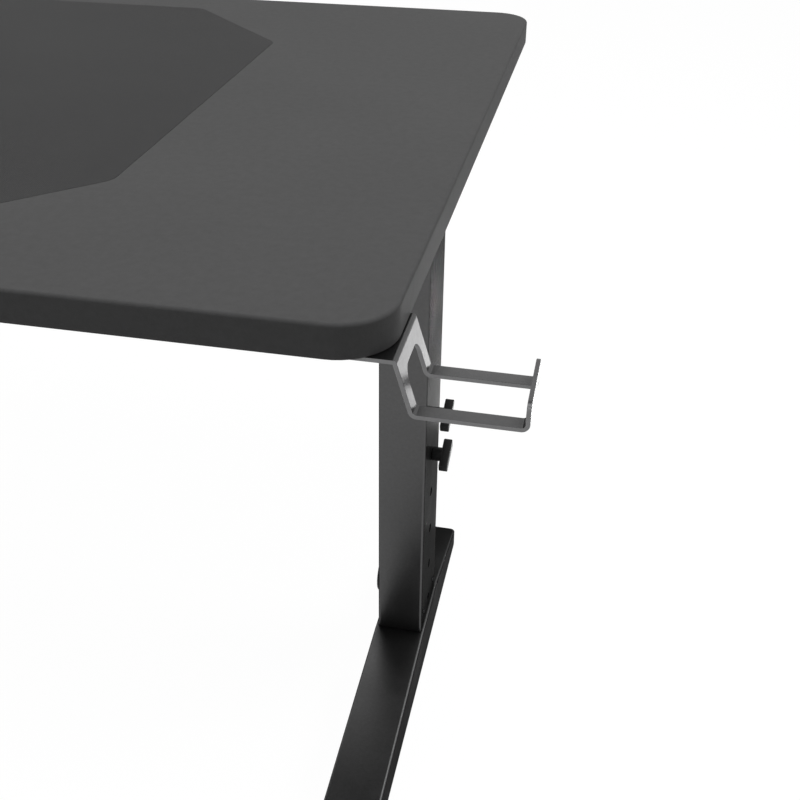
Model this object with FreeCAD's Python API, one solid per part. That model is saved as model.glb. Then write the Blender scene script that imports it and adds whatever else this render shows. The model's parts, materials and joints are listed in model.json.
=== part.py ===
import FreeCAD, Part
import math
import os
from FreeCAD import Vector

# A gaming desk on two telescopic legs. Each leg is a rectangular sleeve that hangs from the tabletop and
# slides on a lipped channel post, which stands on a sheet steel foot. Two knobs pull a clamp bar inside the
# post against its lips. A bent sheet hook for headphones is screwed under the board's front right corner.
# Lengths are millimetres. +X is to the sitter's right, +Y away from the sitter, +Z up, the floor is Z = 0.
# The origin is on the floor, under the middle of the desk's outer box, which includes the hook.

# Tabletop
TOP_WIDTH = 1600.0
TOP_DEPTH = 800.0
TOP_THICKNESS = 25.0
TOP_HEIGHT = 755.0
TOP_CORNER_RADIUS = 40.0
TOP_UPPER_ROUND = 5.5
TOP_LOWER_ROUND = 1.0

# Mouse surface, an inlay that lies flush in the board
SURFACE_SIDE_MARGIN = 258.5
SURFACE_FRONT_MARGIN = 60.0
SURFACE_BACK_MARGIN = 60.0
SURFACE_CUT = 130.5
SURFACE_VERTEX_RADIUS = 18.0
SURFACE_THICKNESS = 2.0
SURFACE_CLEARANCE = 0.15

# Headphone hook
HOOK_SHEET = 3.0
HOOK_BEND_RADIUS = 2.5
HOOK_TOP_BEND_RADIUS = 0.3
HOOK_LEAN_DEGREES = 16.7
HOOK_FRONT_INSET = 8.5
HOOK_WIDTH = 63.5
HOOK_ARM_WIDTH = 12.2
HOOK_PLATE_LENGTH = 56.0
HOOK_PLATE_ROUND = 8.0
HOOK_BEND_OUTSET = 0.6
HOOK_DROP = 37.5
HOOK_REACH = 86.5
HOOK_TIP_HEIGHT = 16.5
HOOK_TIP_ROUND = 7.0
HOOK_SLOT_TOP_DROP = 12.0
HOOK_SLOT_ROUND = 10.0
HOOK_SLOT_END_ROUND = 2.0
HOOK_SLOT_TIP_RISE = 4.5
HOOK_SCREW_SPREAD = 34.0

# Foot, a sheet channel that is open below
FOOT_SIDE_MARGIN = 3.5
FOOT_FRONT_INSET = 75.0
FOOT_BACK_INSET = 75.0
FOOT_HEIGHT = 57.0
FOOT_FRONT_HEIGHT = 33.0
FOOT_BACK_HEIGHT = 24.0
FOOT_CREST_MARGIN = 2.0
FOOT_SHEET = 2.5
FOOT_BEND_RADIUS = 0.3
FOOT_END_RADIUS = 4.5
STIFFENER_THICKNESS = 5.0
STIFFENER_MARGIN = 6.0

# Levelling glides
GLIDE_DIAMETER = 34.0
GLIDE_HEIGHT = 10.0
GLIDE_CHAMFER = 1.5
GLIDE_SHOW = 5.0
GLIDE_END_INSET = 48.0
GLIDE_PLATE_THICKNESS = 4.0
GLIDE_PLATE_LENGTH = 46.0
GLIDE_STUD_DIAMETER = 8.0
GLIDE_STUD_RISE = 9.0

# Leg sleeve
LEG_WIDTH = 55.0
LEG_DEPTH = 95.0
LEG_WALL = 2.0
LEG_BEND_RADIUS = 1.0
LEG_SIDE_INSET = 56.0
LEG_BACK_INSET = 235.0
HOLE_DIAMETER = 11.0
HOLE_PITCH = 56.2
LOWEST_HOLE_RISE = 18.2

# Post and what guides it in the sleeve
SLIDE_GAP = 2.5
POST_WALL = 2.5
POST_BEND_RADIUS = 1.5
POST_LIP = 20.0
POST_BASE_THICKNESS = 12.0
POST_BOLT_SPREAD_X = 22.0
POST_BOLT_SPREAD_Y = 54.0
POST_BOLT_DIAMETER = 8.0
CAP_SKIRT = 15.0
CAP_THICKNESS = 4.0
CAP_HEADROOM = 5.0
COLLAR_HEIGHT = 62.0
RIVET_SPREAD = 62.0
RIVET_RISE = 21.0
RIVET_HEAD_DIAMETER = 6.5
RIVET_HEAD_HEIGHT = 1.2
RIVET_SHANK_DIAMETER = 3.5

# Clamp and its knobs
CLAMP_BAR_THICKNESS = 6.0
CLAMP_BAR_LAP = 11.0
CLAMP_BAR_END = 16.0
KNOB_BAR_LENGTH = 42.0
KNOB_BAR_WIDTH = 11.5
KNOB_BAR_THICKNESS = 10.4
KNOB_BAR_ROUND = 3.0
KNOB_EDGE_CHAMFER = 1.2
KNOB_TURN_DEGREES = 19.0
HUB_DIAMETER = 16.5
HUB_LENGTH = 11.0
STUD_DIAMETER = 8.0
STUD_TIP = 4.0
STUD_COVER = 5.0
PRESS_KNOB_DIAMETER = 46.0
PRESS_KNOB_HEAD = 7.7
PRESS_KNOB_CHAMFER = 2.5
PRESS_KNOB_RISE = 48.0
PRESS_STUD_COVER = 3.0

# Frame under the board
BRACKET_SHEET = 3.0
BRACKET_BEND_RADIUS = 2.5
BRACKET_FLANGE = 30.0
BRACKET_FRONT_REACH = 320.0
BRACKET_BACK_REACH = 220.0
BRACKET_END_CUT = 20.0
BRACKET_SCREW_ROW = 32.0
RAIL_DEPTH = 50.0
RAIL_HEIGHT = 27.0
RAIL_WALL = 2.0
RAIL_END_PLATE = 4.0
RAIL_BEND_RADIUS = 1.0
RAIL_FRONT_SETBACK = 200.0
RAIL_BACK_SETBACK = 140.0
RAIL_BOLT_SPREAD = 26.0
RAIL_BOLT_DIAMETER = 6.0

# Wood screws, for the brackets and the hook
SCREW_DIAMETER = 5.0
SCREW_GRIP = 16.0
SCREW_HEAD_DIAMETER = 10.0
SCREW_HEAD_HEIGHT = 3.0

# Fits and cuts
RUNNING_CLEARANCE = 0.3
SEAT_CLEARANCE = 0.2
THREAD_CLEARANCE = 0.08
HOLE_CLEARANCE = 0.4
OVERRUN = 5.0

# Counts, and places as shares of the lengths that they follow
KNOBS_PER_CLAMP = 2
BRACKET_FRONT_SCREW_SHARES = (0.4, 0.9)
BRACKET_BACK_SCREW_SHARES = (0.4, 0.87)
BOLT_HEAD_WIDTH_SHARE = 1.65
BOLT_HEAD_HEIGHT_SHARE = 0.65

# Levels above the floor
FOOT_BOTTOM = GLIDE_SHOW
CREST = FOOT_BOTTOM + FOOT_HEIGHT
UNDERSIDE = TOP_HEIGHT - TOP_THICKNESS
SLEEVE_BOTTOM = CREST + SEAT_CLEARANCE
SLEEVE_TOP = UNDERSIDE - BRACKET_SHEET

# Height steps: as many as let the clamp stay on the post all the way
CAP_ROOM = CLAMP_BAR_END + CAP_HEADROOM + CAP_SKIRT + CAP_THICKNESS
HEIGHT_STEPS = int(((SLEEVE_TOP - CREST - LOWEST_HOLE_RISE - CAP_ROOM) / HOLE_PITCH - 1) / 2)
TRAVEL = HEIGHT_STEPS * HOLE_PITCH
HOLE_LEVELS = [CREST + LOWEST_HOLE_RISE + HOLE_PITCH * n for n in range(HEIGHT_STEPS + KNOBS_PER_CLAMP)]
KNOB_LEVELS = HOLE_LEVELS[-KNOBS_PER_CLAMP:]
POST_TOP = KNOB_LEVELS[-1] + TRAVEL + CAP_ROOM - CAP_THICKNESS
PRESS_LEVEL = CREST + PRESS_KNOB_RISE

# Plan places
CENTRE_X = -HOOK_REACH / 2
FRONT_Y = -TOP_DEPTH / 2
SIDE_X = CENTRE_X + TOP_WIDTH / 2
LEG_OFFSET = TOP_WIDTH / 2 - LEG_SIDE_INSET - LEG_WIDTH / 2
LEG_Y = TOP_DEPTH / 2 - LEG_BACK_INSET - LEG_DEPTH / 2
FOOT_FRONT = FRONT_Y + FOOT_FRONT_INSET - LEG_Y
FOOT_BACK = TOP_DEPTH / 2 - FOOT_BACK_INSET - LEG_Y

# Sizes that follow from the fits
FOOT_WIDTH = LEG_WIDTH + 2 * FOOT_SIDE_MARGIN
SLEEVE_INNER_WIDTH = LEG_WIDTH - 2 * LEG_WALL
SLEEVE_INNER_DEPTH = LEG_DEPTH - 2 * LEG_WALL
POST_WIDTH = SLEEVE_INNER_WIDTH - 2 * SLIDE_GAP
POST_DEPTH = SLEEVE_INNER_DEPTH - 2 * SLIDE_GAP
POST_MOUTH = POST_DEPTH - 2 * POST_LIP
POST_CORNER_RADIUS = POST_BEND_RADIUS + POST_WALL
CLAMP_BAR_DEPTH = POST_MOUTH + 2 * CLAMP_BAR_LAP
BRACKET_INNER_WIDTH = LEG_WIDTH + 2 * SEAT_CLEARANCE
BRACKET_WIDTH = BRACKET_INNER_WIDTH + 2 * BRACKET_SHEET
RAIL_LENGTH = 2 * LEG_OFFSET - BRACKET_WIDTH
HOOK_CENTRE_Y = FRONT_Y + HOOK_FRONT_INSET + HOOK_WIDTH / 2

AXIS_X = Vector(1, 0, 0)
AXIS_Y = Vector(0, 1, 0)
AXIS_Z = Vector(0, 0, 1)


def rounded_face(corners, radius):
    """Flat face whose corners, given in order, are rounded by tangent arcs."""
    edges = []
    joints = []
    count = len(corners)
    for index, corner in enumerate(corners):
        back = (corners[index - 1] - corner).normalize()
        ahead = (corners[(index + 1) % count] - corner).normalize()
        half = back.getAngle(ahead) / 2
        reach = radius / math.tan(half)
        bisector = (back + ahead).normalize()
        middle = corner + bisector * (radius / math.sin(half) - radius)
        joints.append((corner + back * reach, middle, corner + ahead * reach))
    for index, (start, middle, end) in enumerate(joints):
        edges.append(Part.Arc(start, middle, end).toShape())
        edges.append(Part.makeLine(end, joints[(index + 1) % count][0]))
    return Part.Face(Part.Wire(edges))


def rounded_prism(width, depth, radius, low, high):
    """Upright prism on the Z axis with rounded vertical edges."""
    half_x = width / 2
    half_y = depth / 2
    corners = [Vector(-half_x, -half_y, low), Vector(half_x, -half_y, low),
               Vector(half_x, half_y, low), Vector(-half_x, half_y, low)]
    return rounded_face(corners, radius).extrude(Vector(0, 0, high - low))


def block(low, high):
    """Box between two corners."""
    size = high - low
    return Part.makeBox(size.x, size.y, size.z, low)


def rod(diameter, start, end):
    """Round bar between two points."""
    return Part.makeCylinder(diameter / 2, (end - start).Length, start, end - start)


def turned(outline):
    """Solid turned about the X axis from (x, radius) points."""
    points = [Vector(x, radius, 0) for x, radius in outline]
    return Part.Face(Part.makePolygon(points + points[:1])).revolve(Vector(), AXIS_X, 360)


def hex_bolt(diameter, seat, end):
    """Hexagon head bolt whose head bears at seat and whose shank ends at end."""
    along = (end - seat).normalize()
    across = Vector(along.y, along.z, along.x)
    corner = across * (diameter * BOLT_HEAD_WIDTH_SHARE / math.sqrt(3))
    turn = FreeCAD.Rotation(along, 60)
    ring = [corner]
    for _ in range(5):
        ring.append(turn.multVec(ring[-1]))
    points = [seat + point for point in ring]
    depth = along * (-diameter * BOLT_HEAD_HEIGHT_SHARE)
    head = Part.Face(Part.makePolygon(points + points[:1])).extrude(depth)
    return head.fuse(rod(diameter, seat, end)).removeSplitter()


def wood_screw(x, y, seat):
    """Pan head screw that is driven upwards, with its head under the level seat."""
    head = rod(SCREW_HEAD_DIAMETER, Vector(x, y, seat - SCREW_HEAD_HEIGHT), Vector(x, y, seat))
    rim = [edge for edge in head.Edges if edge.BoundBox.ZMax < seat - SCREW_HEAD_HEIGHT / 2]
    head = head.makeChamfer(SCREW_HEAD_HEIGHT / 2, rim)
    shank = rod(SCREW_DIAMETER, Vector(x, y, seat), Vector(x, y, UNDERSIDE + SCREW_GRIP))
    return head.fuse(shank).removeSplitter()


def screw_bore(x, y):
    """Pilot hole in the board for one wood screw."""
    diameter = SCREW_DIAMETER + 2 * THREAD_CLEARANCE
    end = UNDERSIDE + SCREW_GRIP + HOLE_CLEARANCE
    return rod(diameter, Vector(x, y, UNDERSIDE - OVERRUN), Vector(x, y, end))


def at_leg(shape, side):
    """Copy of a shape drawn on the right leg's axis, placed at the leg on the given side."""
    placed = shape.mirror(Vector(), AXIS_X) if side < 0 else shape.copy()
    placed.translate(Vector(CENTRE_X + side * LEG_OFFSET, LEG_Y, 0))
    return placed


def surface_face(clearance, level):
    """Eight-sided plan of the mouse surface, grown by a clearance."""
    cut = SURFACE_CUT + clearance * (2 - math.sqrt(2))
    left = CENTRE_X - TOP_WIDTH / 2 + SURFACE_SIDE_MARGIN - clearance
    right = CENTRE_X + TOP_WIDTH / 2 - SURFACE_SIDE_MARGIN + clearance
    front = FRONT_Y + SURFACE_FRONT_MARGIN - clearance
    back = TOP_DEPTH / 2 - SURFACE_BACK_MARGIN + clearance
    plan = [(left + cut, front), (right - cut, front), (right, front + cut), (right, back - cut),
            (right - cut, back), (left + cut, back), (left, back - cut), (left, front + cut)]
    return rounded_face([Vector(x, y, level) for x, y in plan], SURFACE_VERTEX_RADIUS + clearance)


def bracket_screw_places():
    """Places of the bracket screws, on the right leg's axes."""
    rows = [-BRACKET_FRONT_REACH * share for share in BRACKET_FRONT_SCREW_SHARES]
    rows += [BRACKET_BACK_REACH * share for share in BRACKET_BACK_SCREW_SHARES]
    return [(half * BRACKET_SCREW_ROW / 2, y) for y in rows for half in (-1, 1)]


def board_screw_places():
    """Plan places of every bracket screw in the board."""
    places = []
    for side in (-1, 1):
        for x, y in bracket_screw_places():
            places.append((CENTRE_X + side * (LEG_OFFSET + x), LEG_Y + y))
    return places


def hook_screw_places():
    """Plan places of the hook screws, in the middle of the hook's plate."""
    x = SIDE_X - HOOK_PLATE_LENGTH / 2
    return [(x, HOOK_CENTRE_Y + half * HOOK_SCREW_SPREAD / 2) for half in (-1, 1)]


def tabletop():
    """Board with rounded corners and edges, a pocket for the inlay and pilot holes below."""
    board = rounded_prism(TOP_WIDTH, TOP_DEPTH, TOP_CORNER_RADIUS, UNDERSIDE, TOP_HEIGHT)
    board.translate(Vector(CENTRE_X, 0, 0))
    upper = [edge for edge in board.Edges if edge.BoundBox.ZMin > TOP_HEIGHT - TOP_THICKNESS / 2]
    board = board.makeFillet(TOP_UPPER_ROUND, upper)
    lower = [edge for edge in board.Edges if edge.BoundBox.ZMax < UNDERSIDE + TOP_LOWER_ROUND / 2]
    board = board.makeFillet(TOP_LOWER_ROUND, lower)
    floor_level = TOP_HEIGHT - SURFACE_THICKNESS
    pocket = surface_face(SURFACE_CLEARANCE, floor_level).extrude(Vector(0, 0, SURFACE_THICKNESS + OVERRUN))
    bores = [screw_bore(x, y) for x, y in board_screw_places() + hook_screw_places()]
    return board.cut([pocket] + bores)


def mouse_surface():
    """Thin inlay, flush with the board's top."""
    return surface_face(0, TOP_HEIGHT - SURFACE_THICKNESS).extrude(Vector(0, 0, SURFACE_THICKNESS))


def sheet_side(start, moves, shift):
    """Edges of one side of a bent sheet in the XZ plane, from straight runs and turns, and its end."""
    edges = []
    heading = 0.0
    point = start + Vector(0, 0, -shift)
    for length, turn, radius in moves:
        along = Vector(math.cos(heading), 0, math.sin(heading))
        end = point + along * length
        edges.append(Part.makeLine(point, end))
        point = end
        if turn:
            sign = math.copysign(1, turn)
            bend = radius + sign * shift
            normal = Vector(-math.sin(heading), 0, math.cos(heading)) * sign
            centre = point + normal * bend
            spokes = [heading + turn * share - sign * math.pi / 2 for share in (0.5, 1)]
            middle, end = [centre + Vector(math.cos(a), 0, math.sin(a)) * bend for a in spokes]
            edges.append(Part.Arc(point, middle, end).toShape())
            point = end
            heading += turn
    return edges, point


def hook_moves():
    """Runs and turns of the hook's upper side, from the plate under the board to the tip."""
    fold = math.radians(90 - HOOK_LEAN_DEGREES)
    outer = HOOK_TOP_BEND_RADIUS + HOOK_SHEET
    bend_drop = (outer + HOOK_BEND_RADIUS) * (1 - math.cos(fold))
    flange = (HOOK_DROP - bend_drop) / math.sin(fold)
    fold_reach = (outer + HOOK_BEND_RADIUS) * math.sin(fold) + flange * math.cos(fold)
    arm = HOOK_REACH - HOOK_SHEET - HOOK_BEND_RADIUS - fold_reach - HOOK_BEND_OUTSET
    return [(HOOK_PLATE_LENGTH + HOOK_BEND_OUTSET, -fold, outer), (flange, fold, HOOK_BEND_RADIUS),
            (arm, math.pi / 2, HOOK_BEND_RADIUS), (HOOK_TIP_HEIGHT - HOOK_BEND_RADIUS, 0, 0)]


def hook_slot():
    """Tools for the slot that starts in the flange under an arch, parts the arms and ends in the tip."""
    half = HOOK_WIDTH / 2 - HOOK_ARM_WIDTH
    arm_level = UNDERSIDE - HOOK_DROP
    low = arm_level - HOOK_SHEET - HOOK_SLOT_ROUND - OVERRUN
    openings = []
    for reach, high, radius in ((HOOK_REACH / 2, UNDERSIDE - HOOK_SLOT_TOP_DROP, HOOK_SLOT_ROUND),
                                (HOOK_REACH + OVERRUN, arm_level + HOOK_SLOT_TIP_RISE, HOOK_SLOT_END_ROUND)):
        opening = [Vector(SIDE_X, HOOK_CENTRE_Y - half, low), Vector(SIDE_X, HOOK_CENTRE_Y + half, low),
                   Vector(SIDE_X, HOOK_CENTRE_Y + half, high), Vector(SIDE_X, HOOK_CENTRE_Y - half, high)]
        openings.append(rounded_face(opening, radius).extrude(Vector(reach, 0, 0)))
    return openings


def headphone_hook():
    """Bent sheet hook: plate, leaning flange, two arms beside a slot and an upturned tip."""
    start = Vector(SIDE_X - HOOK_PLATE_LENGTH, HOOK_CENTRE_Y - HOOK_WIDTH / 2, UNDERSIDE)
    upper, upper_end = sheet_side(start, hook_moves(), 0)
    lower, lower_end = sheet_side(start, hook_moves(), HOOK_SHEET)
    lower_start = start - Vector(0, 0, HOOK_SHEET)
    ends = [Part.makeLine(start, lower_start), Part.makeLine(upper_end, lower_end)]
    section = Part.Face(Part.Wire(Part.__sortEdges__(upper + lower + ends)))
    sheet = section.extrude(Vector(0, HOOK_WIDTH, 0)).cut(hook_slot())
    tip_level = upper_end.z - HOOK_TIP_ROUND / 2
    tip_x = upper_end.x - HOOK_SHEET / 2
    tip = [edge for edge in sheet.Edges if edge.BoundBox.ZMin > tip_level and edge.BoundBox.XMin > tip_x]
    tip = [edge for edge in tip if edge.BoundBox.XLength > HOOK_SHEET / 2]
    sheet = sheet.makeFillet(HOOK_TIP_ROUND, tip)
    inner = [edge for edge in sheet.Edges if edge.BoundBox.XMax < start.x + HOOK_SHEET / 2]
    inner = [edge for edge in inner if edge.BoundBox.ZLength > HOOK_SHEET / 2]
    sheet = sheet.makeFillet(HOOK_PLATE_ROUND, inner)
    diameter = SCREW_DIAMETER + 2 * HOLE_CLEARANCE
    low, high = UNDERSIDE - HOOK_SHEET - OVERRUN, UNDERSIDE + OVERRUN
    holes = [rod(diameter, Vector(x, y, low), Vector(x, y, high)) for x, y in hook_screw_places()]
    return sheet.cut(holes)


def hook_screws():
    """Screws that hold the hook's plate to the board."""
    return Part.makeCompound([wood_screw(x, y, UNDERSIDE - HOOK_SHEET) for x, y in hook_screw_places()])


def bracket_screws():
    """Screws that hold both side brackets to the board."""
    return Part.makeCompound([wood_screw(x, y, SLEEVE_TOP) for x, y in board_screw_places()])


def rail_places():
    """Rail axes along Y, from the leg's axis, by name."""
    return {"front": -RAIL_FRONT_SETBACK, "back": RAIL_BACK_SETBACK}


def rail_bolt_places():
    """Places along Y of every rail bolt, from the leg's axis."""
    return [y + half * RAIL_BOLT_SPREAD / 2 for y in rail_places().values() for half in (-1, 1)]


def side_bracket():
    """Folded channel under the board, open below, with tapered flange ends, that takes the sleeve's top."""
    half = BRACKET_WIDTH / 2
    front = -BRACKET_FRONT_REACH
    back = BRACKET_BACK_REACH
    low = UNDERSIDE - BRACKET_FLANGE
    profile = [Vector(-half, front, UNDERSIDE), Vector(-half, back, UNDERSIDE),
               Vector(-half, back, SLEEVE_TOP), Vector(-half, back - BRACKET_END_CUT, low),
               Vector(-half, front + BRACKET_END_CUT, low), Vector(-half, front, SLEEVE_TOP)]
    channel = Part.Face(Part.makePolygon(profile + profile[:1])).extrude(Vector(BRACKET_WIDTH, 0, 0))
    upper = [edge for edge in channel.Edges if edge.BoundBox.ZMin > UNDERSIDE - BRACKET_SHEET / 2]
    folds = [edge for edge in upper if edge.BoundBox.XLength < BRACKET_SHEET]
    channel = channel.makeFillet(BRACKET_BEND_RADIUS, folds)
    hollow = block(Vector(-BRACKET_INNER_WIDTH / 2, front - OVERRUN, low - OVERRUN),
                   Vector(BRACKET_INNER_WIDTH / 2, back + OVERRUN, SLEEVE_TOP))
    screw_hole = SCREW_DIAMETER + 2 * HOLE_CLEARANCE
    cuts = [hollow]
    for x, y in bracket_screw_places():
        cuts.append(rod(screw_hole, Vector(x, y, SLEEVE_TOP - OVERRUN), Vector(x, y, UNDERSIDE + OVERRUN)))
    bolt_hole = RAIL_BOLT_DIAMETER + 2 * HOLE_CLEARANCE
    level = UNDERSIDE - RAIL_HEIGHT / 2
    for y in rail_bolt_places():
        cuts.append(rod(bolt_hole, Vector(-half - OVERRUN, y, level), Vector(0, y, level)))
    return channel.cut(cuts)


def cross_rail(y):
    """Rectangular tube between the brackets, closed by tapped end plates."""
    half = RAIL_LENGTH / 2
    tube = rounded_prism(RAIL_DEPTH, RAIL_HEIGHT, RAIL_BEND_RADIUS + RAIL_WALL, -half, half)
    bore = rounded_prism(RAIL_DEPTH - 2 * RAIL_WALL, RAIL_HEIGHT - 2 * RAIL_WALL, RAIL_BEND_RADIUS,
                         RAIL_END_PLATE - half, half - RAIL_END_PLATE)
    rail = tube.cut(bore)
    rail.rotate(Vector(), AXIS_Z, 90)
    rail.rotate(Vector(), AXIS_Y, 90)
    rail.translate(Vector(CENTRE_X, LEG_Y + y, UNDERSIDE - RAIL_HEIGHT / 2))
    level = UNDERSIDE - RAIL_HEIGHT / 2
    taps = []
    for side in (-1, 1):
        end = CENTRE_X + side * half
        for end_side in (-1, 1):
            place = LEG_Y + y + end_side * RAIL_BOLT_SPREAD / 2
            inside = end - side * (RAIL_END_PLATE + OVERRUN)
            taps.append(rod(RAIL_BOLT_DIAMETER + 2 * THREAD_CLEARANCE, Vector(inside, place, level),
                            Vector(end + side * OVERRUN, place, level)))
    return rail.cut(taps)


def rail_bolts():
    """Bolts from inside the brackets into the rails' end plates."""
    level = UNDERSIDE - RAIL_HEIGHT / 2
    seat = -BRACKET_INNER_WIDTH / 2
    end = seat - BRACKET_SHEET - RAIL_END_PLATE
    bolts = [hex_bolt(RAIL_BOLT_DIAMETER, Vector(seat, y, level), Vector(end, y, level))
             for y in rail_bolt_places()]
    return Part.makeCompound([at_leg(bolt, side) for side in (-1, 1) for bolt in bolts])


def leg_sleeve():
    """Rectangular tube with the row of clamp holes outside, rivet holes and one press screw hole inside."""
    outer = rounded_prism(LEG_WIDTH, LEG_DEPTH, LEG_BEND_RADIUS + LEG_WALL, SLEEVE_BOTTOM, SLEEVE_TOP)
    inner = rounded_prism(SLEEVE_INNER_WIDTH, SLEEVE_INNER_DEPTH, LEG_BEND_RADIUS,
                          SLEEVE_BOTTOM - OVERRUN, SLEEVE_TOP + OVERRUN)
    face = LEG_WIDTH / 2
    cuts = [inner]
    for level in HOLE_LEVELS:
        cuts.append(rod(HOLE_DIAMETER, Vector(0, 0, level), Vector(face + OVERRUN, 0, level)))
    rivet_hole = RIVET_SHANK_DIAMETER + 2 * THREAD_CLEARANCE
    for y, level in rivet_places():
        cuts.append(rod(rivet_hole, Vector(0, y, level), Vector(face + OVERRUN, y, level)))
    press_hole = STUD_DIAMETER + 2 * THREAD_CLEARANCE
    cuts.append(rod(press_hole, Vector(-face - OVERRUN, 0, PRESS_LEVEL), Vector(0, 0, PRESS_LEVEL)))
    return outer.cut(cuts)


def rivet_places():
    """Places of the collar's rivets on the sleeve's outer face."""
    return [(half * RIVET_SPREAD / 2, CREST + RIVET_RISE) for half in (-1, 1)]


def guide_collar():
    """Plastic liner in the sleeve's lower end, which runs on the post."""
    outer = rounded_prism(SLEEVE_INNER_WIDTH, SLEEVE_INNER_DEPTH, LEG_BEND_RADIUS,
                          SLEEVE_BOTTOM, SLEEVE_BOTTOM + COLLAR_HEIGHT)
    inner = rounded_prism(POST_WIDTH + 2 * RUNNING_CLEARANCE, POST_DEPTH + 2 * RUNNING_CLEARANCE,
                          POST_CORNER_RADIUS + RUNNING_CLEARANCE, SLEEVE_BOTTOM - OVERRUN,
                          SLEEVE_BOTTOM + COLLAR_HEIGHT + OVERRUN)
    reach = LEG_WIDTH / 2
    cuts = [inner]
    for level in HOLE_LEVELS:
        cuts.append(rod(HOLE_DIAMETER, Vector(0, 0, level), Vector(reach, 0, level)))
    rivet_hole = RIVET_SHANK_DIAMETER + 2 * THREAD_CLEARANCE
    for y, level in rivet_places():
        cuts.append(rod(rivet_hole, Vector(0, y, level), Vector(reach, y, level)))
    press_hole = STUD_DIAMETER + 2 * HOLE_CLEARANCE
    cuts.append(rod(press_hole, Vector(-reach, 0, PRESS_LEVEL), Vector(0, 0, PRESS_LEVEL)))
    return outer.cut(cuts)


def collar_rivet(y, level):
    """Low round rivet through the sleeve's wall and the collar."""
    face = LEG_WIDTH / 2
    inner = POST_WIDTH / 2 + RUNNING_CLEARANCE
    radius = RIVET_SHANK_DIAMETER / 2
    head = RIVET_HEAD_DIAMETER / 2
    outline = [(inner, 0), (inner, radius), (face, radius), (face, head),
               (face + RIVET_HEAD_HEIGHT, radius), (face + RIVET_HEAD_HEIGHT, 0)]
    rivet = turned(outline)
    rivet.translate(Vector(0, y, level))
    return rivet


def collar_rivets():
    """Rivets of both collars."""
    rivets = [collar_rivet(y, level) for y, level in rivet_places()]
    return Part.makeCompound([at_leg(rivet, side) for side in (-1, 1) for rivet in rivets])


def clamp_levels():
    """Lower and upper end of the clamp's bar and pad."""
    return KNOB_LEVELS[0] - CLAMP_BAR_END, KNOB_LEVELS[-1] + CLAMP_BAR_END


def clamp_pad():
    """Plastic pad between the sleeve's wall and the post's lips."""
    low, high = clamp_levels()
    face = SLEEVE_INNER_WIDTH / 2
    half = CLAMP_BAR_DEPTH / 2
    pad = block(Vector(POST_WIDTH / 2 + RUNNING_CLEARANCE, -half, low), Vector(face, half, high))
    diameter = STUD_DIAMETER + 2 * HOLE_CLEARANCE
    return pad.cut([rod(diameter, Vector(0, 0, level), Vector(LEG_WIDTH / 2, 0, level))
                    for level in KNOB_LEVELS])


def clamp_bar():
    """Tapped steel bar behind the post's lips, with chamfered long edges."""
    low, high = clamp_levels()
    face = POST_WIDTH / 2 - POST_WALL - RUNNING_CLEARANCE
    half = CLAMP_BAR_DEPTH / 2
    bar = block(Vector(face - CLAMP_BAR_THICKNESS, -half, low), Vector(face, half, high))
    back = [edge for edge in bar.Edges if edge.BoundBox.XMax < face - CLAMP_BAR_THICKNESS / 2]
    bar = bar.makeChamfer(CLAMP_BAR_THICKNESS / 3, back)
    diameter = STUD_DIAMETER + 2 * THREAD_CLEARANCE
    return bar.cut([rod(diameter, Vector(0, 0, level), Vector(LEG_WIDTH / 2, 0, level))
                    for level in KNOB_LEVELS])


def stud(start, end):
    """Steel stud on the X axis with a chamfered inner end."""
    radius = STUD_DIAMETER / 2
    tip = radius / 2
    return turned([(start, 0), (start, radius - tip), (start + tip, radius), (end, radius), (end, 0)])


def clamp_knob(level):
    """T-shaped knob of the clamp at one hole of the sleeve's outer face, with a blind bore for its stud."""
    half_y = KNOB_BAR_LENGTH / 2
    half_z = KNOB_BAR_WIDTH / 2
    end = HUB_LENGTH + KNOB_BAR_THICKNESS
    corners = [Vector(HUB_LENGTH, -half_y, -half_z), Vector(HUB_LENGTH, half_y, -half_z),
               Vector(HUB_LENGTH, half_y, half_z), Vector(HUB_LENGTH, -half_y, half_z)]
    bar = rounded_face(corners, KNOB_BAR_ROUND).extrude(Vector(KNOB_BAR_THICKNESS, 0, 0))
    rims = [edge for edge in bar.Edges if edge.BoundBox.XLength < KNOB_EDGE_CHAMFER]
    bar = bar.makeChamfer(KNOB_EDGE_CHAMFER, rims)
    bar.rotate(Vector(), AXIS_X, KNOB_TURN_DEGREES)
    hub = rod(HUB_DIAMETER, Vector(SEAT_CLEARANCE, 0, 0), Vector(HUB_LENGTH + KNOB_EDGE_CHAMFER, 0, 0))
    bore = rod(STUD_DIAMETER + 2 * THREAD_CLEARANCE, Vector(-OVERRUN, 0, 0), Vector(end - STUD_COVER, 0, 0))
    piece = bar.fuse(hub).cut(bore)
    piece.translate(Vector(LEG_WIDTH / 2, 0, level))
    return piece


def clamp_stud(level):
    """Stud of a clamp knob, which ends behind the clamp bar."""
    bar_back = POST_WIDTH / 2 - POST_WALL - RUNNING_CLEARANCE - CLAMP_BAR_THICKNESS
    outer_end = LEG_WIDTH / 2 + HUB_LENGTH + KNOB_BAR_THICKNESS - STUD_COVER - SEAT_CLEARANCE
    piece = stud(bar_back - STUD_TIP, outer_end)
    piece.translate(Vector(0, 0, level))
    return piece


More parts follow.
